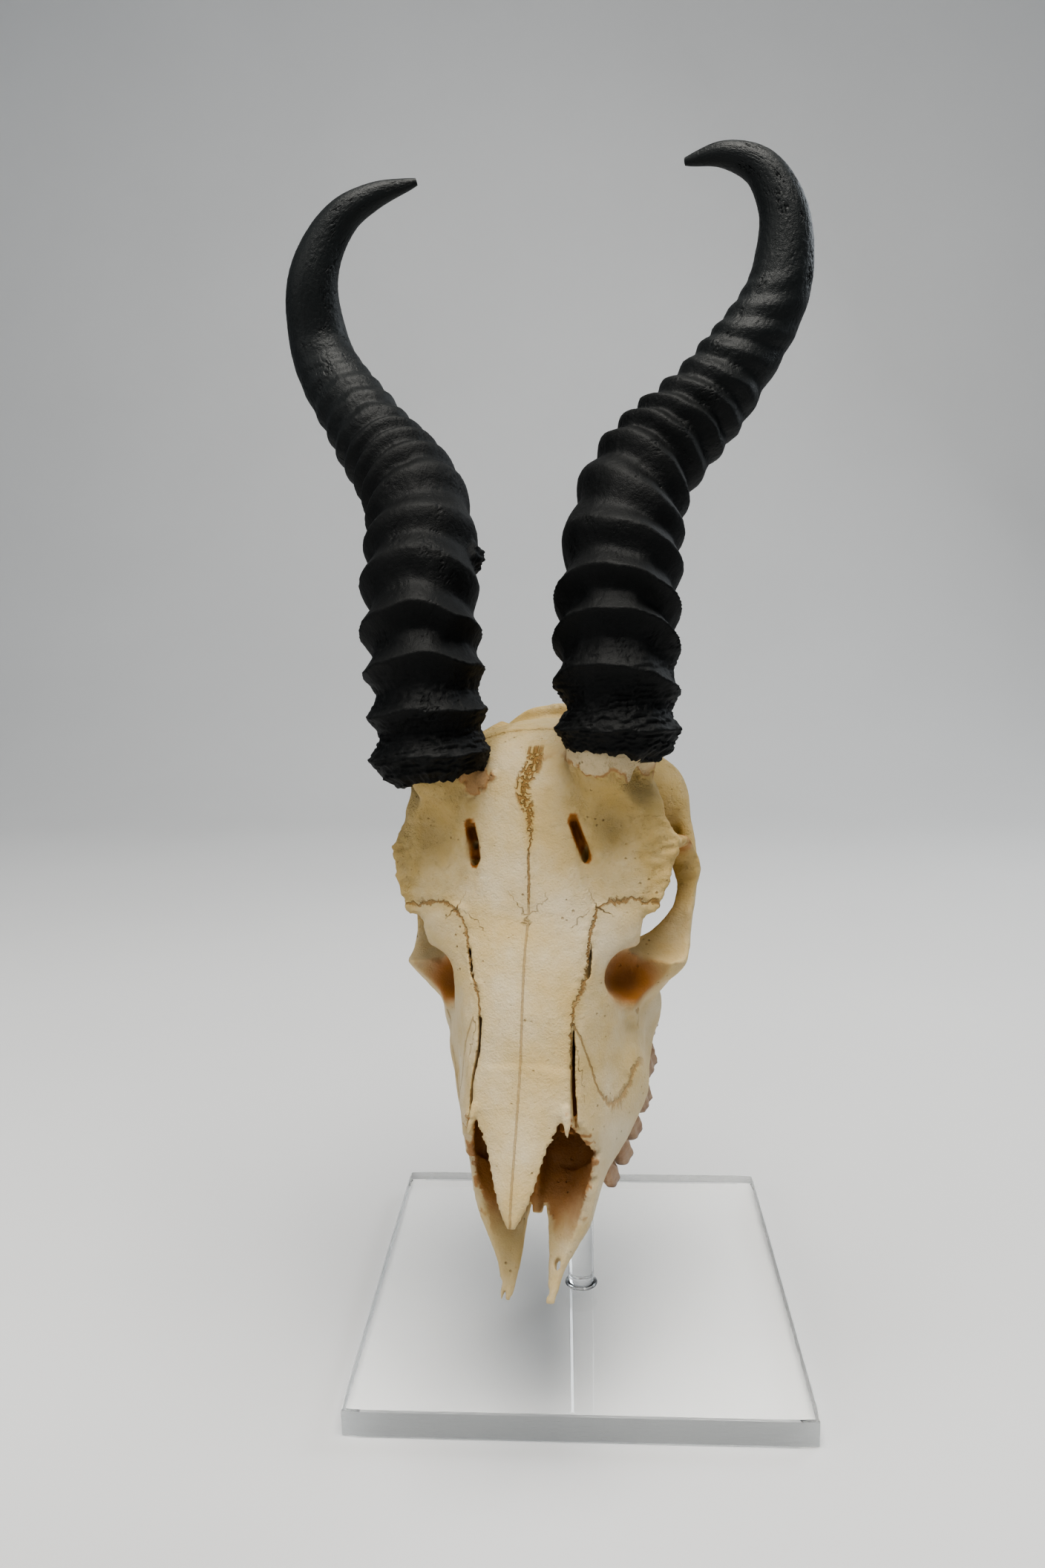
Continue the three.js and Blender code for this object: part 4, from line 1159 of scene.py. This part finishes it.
# %% Horn material
tree, out = effect_group("horn_surface", {
    "Colour": "NodeSocketColor", "Height": "NodeSocketFloat", "Gloss": "NodeSocketFloat",
})
place = millimetres(tree)
dust = noise(tree, place, 0.08, 1.0, 4.0, 0.6)
grit = noise(tree, place, 0.9, 2.0, 3.0, 0.6)
worn = attribute(tree, "crest")
split = attribute(tree, "crack")
colour = blend_colour(tree, dust.ramp(-0.5, 0.6), (0.0025, 0.003, 0.0028, 1), (0.007, 0.0078, 0.0076, 1))
colour = blend_colour(tree, worn.ramp(0.45, 1.0, 0.0, 0.45), colour, (0.014, 0.0145, 0.0135, 1))
smooth_part = attribute(tree, "along").ramp(90.0, 190.0)
colour = blend_colour(tree, smooth_part * 0.8, colour, (0.021, 0.024, 0.024, 1))
colour = blend_colour(tree, split * 0.8, colour, (0.004, 0.004, 0.004, 1))
tree.links.new(colour.socket, out.inputs["Colour"])
tree.links.new((grit * 0.6 + noise(tree, place, 3.0, 6.0) * 0.3 - split).socket, out.inputs["Height"])
tree.links.new((dust * 0.08 + grit * 0.05 + 0.6 - smooth_part * 0.14).socket, out.inputs["Gloss"])
horn, tree, shader, node = material_with("horn", tree)
tree.links.new(node.outputs["Colour"], shader.inputs["Base Color"])
tree.links.new(node.outputs["Gloss"], shader.inputs["Roughness"])
shader.inputs["Specular IOR Level"].default_value = 0.36
bump(tree, shader, node.outputs["Height"], 0.0002)
print("horn material ready")

# %% [markdown]
# ## Two horns from one tree
# The curves start inside the torn bases and hook inward at the tips. The right horn ends a little longer.

# %% Place the horns
LEFT_STEM = [(32.3, 197, 118), (36.6, 238, 126.5), (62, 277, 132.5), (82.5, 307.5, 150)]
RIGHT_STEM = [(31.6, 197, 118), (38, 238, 126.5), (63, 277, 132.5), (82.3, 307.5, 150)]
LEFT_HORN = [
    (30.4, 156.9, 87.3), *LEFT_STEM, (83, 323, 165.5),
    (77, 330.5, 174), (66, 334, 178.5), (53, 335, 178),
]
RIGHT_HORN = [
    (29.4, 153.3, 84.6), *RIGHT_STEM, (80.5, 319, 168), (75, 327.5, 176),
    (66.5, 335, 181.5), (57.5, 340.5, 183), (42, 347, 182.5),
]
RIGHT_HORN = [(-x, y, z) for x, y, z in RIGHT_HORN]
horn_inputs = {
    "Steps": 430, "Sides": 208,
    "Ring Height": 3.1, "Ring Lead": 16.0,
    "Flaking": 1.0, "Cracks": 0.4, "Front": (0.0, -0.55, 0.83), "Material": horn,
    "Knob Place": 74.0, "Knob Side": (0.97, 0.1, -0.2),
}


def grow_horn(name, line, seed, lead, knob):
    axis = path(line, 300)
    piece = mesh_object(name, axis, [])
    piece.data.clear_geometry()
    piece.data.from_pydata(axis.tolist(), [(i, i + 1) for i in range(len(axis) - 1)], [])
    tool = piece.modifiers.new("ringed_horn", "NODES")
    sockets = {s.name: s.identifier for s in ringed_horn.interface.items_tree if s.in_out == "INPUT"}
    tool.node_group = ringed_horn
    for key, value in {**horn_inputs, "Seed": seed, "Ring Lead": lead, "Knob Height": knob}.items():
        tool[sockets[key]] = value
    mesh = freeze(piece)
    mesh.transform(skull_pose)
    mesh.update()
    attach(piece, "root")
    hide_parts(name.replace("_ringed", ""))
    print(name, "triangles:", sum(len(p.vertices) - 2 for p in mesh.polygons))
    return piece


grow_horn("left_horn_sheath_ringed", LEFT_HORN, 4.0, 24.0, 0.0)
grow_horn("right_horn_sheath_ringed", RIGHT_HORN, 9.0, 12.0, 3.0)

# %% [markdown]
# ## Cheek teeth
# Grazers have tall cheek teeth. Outer ribs run down each crown,
# and worn crescents of enamel stand out on the chewing face.
# Each tooth is a stack of ribbed outlines.
# Inner outlines close the chewing face, with a crescent ridge on each lobe.

# %% Teeth
CHEEK_TEETH = [
    ("premolar_2", 7, 5.5, 19.5, 1), ("premolar_3", 8, 7, 22.3, 1), ("premolar_4", 8.5, 8, 24.3, 1),
    ("molar_1", 11.5, 9.5, 26, 2), ("molar_2", 13, 10, 26.6, 2), ("molar_3", 13.5, 9.5, 26.2, 2),
]
ROW_START = 60.0
TOOTH_GAP = 0.35
CROWN_LOW = -9.0
ROOT_HIGH = 6.0


def tooth_rings(length, width, lobes, seed):
    """Outlines from the root down to the chewing face and then in to its middle."""
    turn = np.linspace(0, 2 * math.pi, 56, endpoint=False)
    u = np.cos(turn)
    v = np.sin(turn)
    y = np.sign(u) * np.abs(u) ** 0.75 * length / 2
    ribs = 0.10 * np.cos(y / length * 2 * math.pi * lobes * 2) * (v > 0) * np.abs(v)
    lobed = 0.16 * np.abs(np.cos(y / length * math.pi * lobes)) * np.abs(v)
    x = np.sign(v) * np.abs(v) ** 0.7 * width / 2 * (0.82 + ribs + lobed)
    rings = []
    for step in np.linspace(0, 1, 12):
        swell = 0.78 + 0.22 * ramp(step, 0.0, 0.45) - 0.05 * ramp(step, 0.7, 1.0)
        z = ROOT_HIGH + (CROWN_LOW - ROOT_HIGH) * step
        rings.append(np.column_stack([x * swell, y * swell, np.full_like(x, z)]))
    cusp = np.abs(np.cos(y / length * math.pi * lobes))
    for inset in (0.94, 0.84, 0.72, 0.58, 0.42, 0.24, 0.08):
        ridge = math.sin((1 - inset) * 9.5) * 0.7 + 0.9 * (1 - inset)
        z = CROWN_LOW + ridge * (0.6 + 0.6 * cusp) - 0.9 * cusp * (x > 0) * inset + 0.5
        rings.append(np.column_stack([x * 0.95 * inset, y * 0.95 * inset, z]))
    rings = np.array(rings)
    flat = rings.reshape(-1, 3)
    roughness = lattice_noise(flat + seed, 2.2, 40 + seed)[:, None] * (0.18, 0.18, 0.25)
    return rings + roughness.reshape(rings.shape)


tree, out = effect_group("tooth_surface", {"Colour": "NodeSocketColor", "Height": "NodeSocketFloat"})
place = millimetres(tree)
tartar = noise(tree, place, 0.22, 3.0, 4.0, 0.65)
streak = noise(tree, place, 0.9, 5.0, 3.0, 0.6)
gum = attribute(tree, "crown")
colour = blend_colour(tree, tartar.ramp(-0.3, 0.5), (0.36, 0.22, 0.11, 1), (0.24, 0.11, 0.04, 1))
colour = blend_colour(tree, (gum + tartar * 0.3).ramp(0.75, 1.1, 0.0, 0.85), colour, (0.13, 0.055, 0.018, 1))
colour = blend_colour(tree, streak.ramp(0.2, 0.8, 0.0, 0.4), colour, (0.12, 0.06, 0.025, 1))
tree.links.new(colour.socket, out.inputs["Colour"])
tree.links.new((streak * 0.5 + tartar * 0.5).socket, out.inputs["Height"])
enamel, tree, shader, node = material_with("tooth", tree)
tree.links.new(node.outputs["Colour"], shader.inputs["Base Color"])
shader.inputs["Roughness"].default_value = 0.38
bump(tree, shader, node.outputs["Height"], 0.0002)
for flank, sign in (("left", 1), ("right", -1)):
    start = ROW_START
    for number, (tooth, length, width, x, lobes) in enumerate(CHEEK_TEETH):
        rings = tooth_rings(length, width, lobes, number + (10 if sign < 0 else 0))
        rings = (rings + (x, start + length / 2, 0)) * (sign, 1, 1)
        points, quads, caps = skin_of(rings)
        faces = quads.tolist() + caps.tolist()
        piece = bpy.data.objects.new(f"{flank}_{tooth}_crown", bpy.data.meshes.new(f"{flank}_{tooth}_crown"))
        bpy.context.collection.objects.link(piece)
        piece.data.from_pydata(to_frame(points).tolist(), [], faces)
        piece.data.polygons.foreach_set("use_smooth", np.ones(len(faces), bool))
        store(piece.data, "crown", ramp(points[:, 2], -4, -9))
        piece.data.materials.append(enamel)
        piece.data.update()
        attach(piece, "root")
        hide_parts(f"{flank}_{tooth}")
        start += length + TOOTH_GAP
print("cheek teeth:", 2 * len(CHEEK_TEETH))

# %% [markdown]
# ## The clear stand
# The plate and the rod are cast acrylic. Sawn and scraped edges stay satin and catch the light,
# while the faces are polished.
# Small chamfers, and a thin collar of cement at the rod's foot, make them look real.

# %% Acrylic
PLATE_HALF = 76.2
PLATE_TOP = 9.5
CHAMFER = 0.5
ROD_RADIUS = 4.75
ROD_PLACE = (0.8, -4.9)
ROD_TOP = 167.0
LIGHT_SHARE = 0.72


def let_light_pass(material, share):
    """Let lamps shine through a clear piece, so that it does not shade the floor like a solid one."""
    tree = material.node_tree
    ray = tree.nodes.new("ShaderNodeLightPath")
    clear = tree.nodes.new("ShaderNodeBsdfTransparent")
    mix = tree.nodes.new("ShaderNodeMixShader")
    tree.links.new((Wire(tree, ray.outputs["Is Shadow Ray"]) * share).socket, mix.inputs[0])
    tree.links.new(tree.nodes["Principled BSDF"].outputs[0], mix.inputs[1])
    tree.links.new(clear.outputs[0], mix.inputs[2])
    tree.links.new(mix.outputs[0], tree.nodes["Material Output"].inputs["Surface"])


tree, out = effect_group("acrylic_wear", {"Roughness": "NodeSocketFloat", "Height": "NodeSocketFloat"})
place = millimetres(tree)
smear = noise(tree, place, 0.03, 2.0, 3.0, 0.6)
saw = noise(tree, place.vector("MULTIPLY", (0.2, 0.2, 3.0)), 1.2, 6.0, 3.0, 0.6)
edge = attribute(tree, "edge")
tree.links.new((edge * 0.27 + smear.ramp(0.0, 0.8, 0.0, 0.03) + 0.015).socket, out.inputs["Roughness"])
tree.links.new((saw * edge).socket, out.inputs["Height"])
acrylic, tree, shader, node = material_with("acrylic", tree)
shader.inputs["Base Color"].default_value = (0.985, 0.99, 0.99, 1)
shader.inputs["IOR"].default_value = 1.49
shader.inputs["Transmission Weight"].default_value = 1.0
tree.links.new(node.outputs["Roughness"], shader.inputs["Roughness"])
bump(tree, shader, node.outputs["Height"], 0.00015)
let_light_pass(acrylic, LIGHT_SHARE)
satin, tree, shader, node = material_with("acrylic_sawn_edge", node.node_tree)
shader.inputs["Base Color"].default_value = (0.92, 0.94, 0.94, 1)
shader.inputs["IOR"].default_value = 1.49
shader.inputs["Transmission Weight"].default_value = 0.55
tree.links.new(node.outputs["Roughness"], shader.inputs["Roughness"])
bump(tree, shader, node.outputs["Height"], 0.00015)
print("acrylic materials:", acrylic.name, satin.name)

# %% [markdown]
# ## Plate and rod
# Both are stacks of rings, square ones for the plate and round ones for the rod.

# %% Plate and rod


def square_ring(half, z, count=24):
    """Points round a square with slightly rounded corners, at one height."""
    side = np.linspace(-1, 1, count, endpoint=False)
    one = np.ones(count)
    runs = ((side, -one), (one, side), (-side, one), (-one, -side))
    line = np.concatenate([np.column_stack(run) for run in runs])
    corner = np.abs(line).min(1) ** 24
    return np.column_stack([line * (half - 0.5 * corner[:, None]), np.full(len(line), z)])


def round_ring(radius, z, count=48):
    turn = np.arange(count) * 2 * math.pi / count
    circle = np.column_stack([radius * np.cos(turn), radius * np.sin(turn)]) + ROD_PLACE
    return np.column_stack([circle, np.full(count, z)])


def stand_piece(name, rings, node_name, edges):
    points, quads, caps = skin_of(np.array(rings))
    piece = mesh_object(name, points * MM, quads)
    piece.data.clear_geometry()
    piece.data.from_pydata((points * MM).tolist(), [], quads.tolist() + caps.tolist())
    store(piece.data, "edge", edges(points))
    piece.data.materials.append(acrylic)
    piece.data.materials.append(satin)
    sides = edges(points)
    for polygon in piece.data.polygons:
        polygon.material_index = int(min(sides[v] for v in polygon.vertices) > 0.9)
    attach(piece, "root")
    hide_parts(node_name)
    print(name, "vertices:", len(points))
    return piece


def near_rim(points):
    return ramp(np.abs(points[:, :2]).max(1), PLATE_HALF - 1.4, PLATE_HALF - 0.4)


def near_foot(points):
    return ramp(points[:, 2], PLATE_TOP + 3, PLATE_TOP) * 0.4


plate_rings = [
    square_ring(PLATE_HALF * 0.5, 0), square_ring(PLATE_HALF - 2, 0), square_ring(PLATE_HALF - CHAMFER, 0),
    square_ring(PLATE_HALF, CHAMFER), square_ring(PLATE_HALF, PLATE_TOP - CHAMFER),
    square_ring(PLATE_HALF - CHAMFER, PLATE_TOP), square_ring(PLATE_HALF - 2, PLATE_TOP),
    square_ring(PLATE_HALF * 0.5, PLATE_TOP),
]
stand_piece("clear_plate", plate_rings, "base_plate", near_rim)
rod_rings = [round_ring(ROD_RADIUS - 0.3, PLATE_TOP + 0.02), round_ring(ROD_RADIUS + 1.3, PLATE_TOP + 0.02)]
for share in np.linspace(0, 1, 8):
    rod_rings.append(round_ring(ROD_RADIUS + 1.3 * (1 - share) ** 2, PLATE_TOP + 0.1 + 1.4 * share))
rod_rings += [round_ring(ROD_RADIUS, z) for z in np.linspace(PLATE_TOP + 6, ROD_TOP - 0.6, 20)]
rod_rings += [round_ring(ROD_RADIUS - 0.5, ROD_TOP)]
rod = stand_piece("clear_rod", rod_rings, "rod", near_foot)
rod.data.polygons.foreach_set("use_smooth", np.ones(len(rod.data.polygons), bool))

# %% [markdown]
# ## Stage and light
# A pale floor curves up behind the object, so no horizon crosses it.
# A broad lamp above the camera gives the soft shine on the horns, and weak side lamps open the shadows.

# %% Floor, world and lamps


def cove(count=24):
    """A floor that sweeps up behind."""
    turn = np.linspace(0, math.pi / 2, count)
    bend = [(0.9 + 0.6 * math.sin(t), 0.6 - 0.6 * math.cos(t)) for t in turn]
    profile = [(-2.5, 0.0), *bend, (1.5, 2.6)]
    points = [(x, y, z - 0.0002) for y, z in profile for x in (-3.0, 3.0)]
    faces = [(2 * i, 2 * i + 1, 2 * i + 3, 2 * i + 2) for i in range(len(profile) - 1)]
    return mesh_object("floor", points, faces)


floor = cove()
floor.data.polygons.foreach_set("use_smooth", np.ones(len(floor.data.polygons), bool))
paper, tree, shader, node = material_with("paper")
tone = noise(tree, millimetres(tree), 0.004, 1.0, 3.0)
paper_colour = blend_colour(tree, tone.ramp(-1.0, 1.0), (0.70, 0.70, 0.695, 1), (0.74, 0.74, 0.735, 1))
tree.links.new(paper_colour.socket, shader.inputs["Base Color"])
shader.inputs["Roughness"].default_value = 0.75
floor.data.materials.append(paper)
world = bpy.data.worlds.new("studio")
bpy.context.scene.world = world
world.use_nodes = True
world.node_tree.nodes["Background"].inputs["Color"].default_value = (0.84, 0.91, 1.0, 1)
world.node_tree.nodes["Background"].inputs["Strength"].default_value = 0.23


def soft_light(name, place, target, size, watts, colour=(1, 1, 1)):
    data = bpy.data.lights.new(name, "AREA")
    data.size = size
    data.energy = watts
    data.color = colour
    lamp = bpy.data.objects.new(name, data)
    bpy.context.collection.objects.link(lamp)
    lamp.location = place
    lamp.rotation_euler = (Vector(target) - Vector(place)).to_track_quat("-Z", "Y").to_euler()


soft_light("overhead", (0.05, -0.28, 1.3), (0, -0.02, 0.2), 0.8, 15.5, (1.0, 0.97, 0.92))
soft_light("left_side", (-1.1, -0.6, 0.9), (0, 0, 0.22), 0.7, 3, (1.0, 0.98, 0.95))
soft_light("right_back", (0.9, 0.7, 0.9), (0, 0, 0.25), 0.5, 3.5, (0.9, 0.95, 1.0))
bpy.context.scene.view_settings.look = "AgX - High Contrast"
print("lamps: overhead, left side and right back")
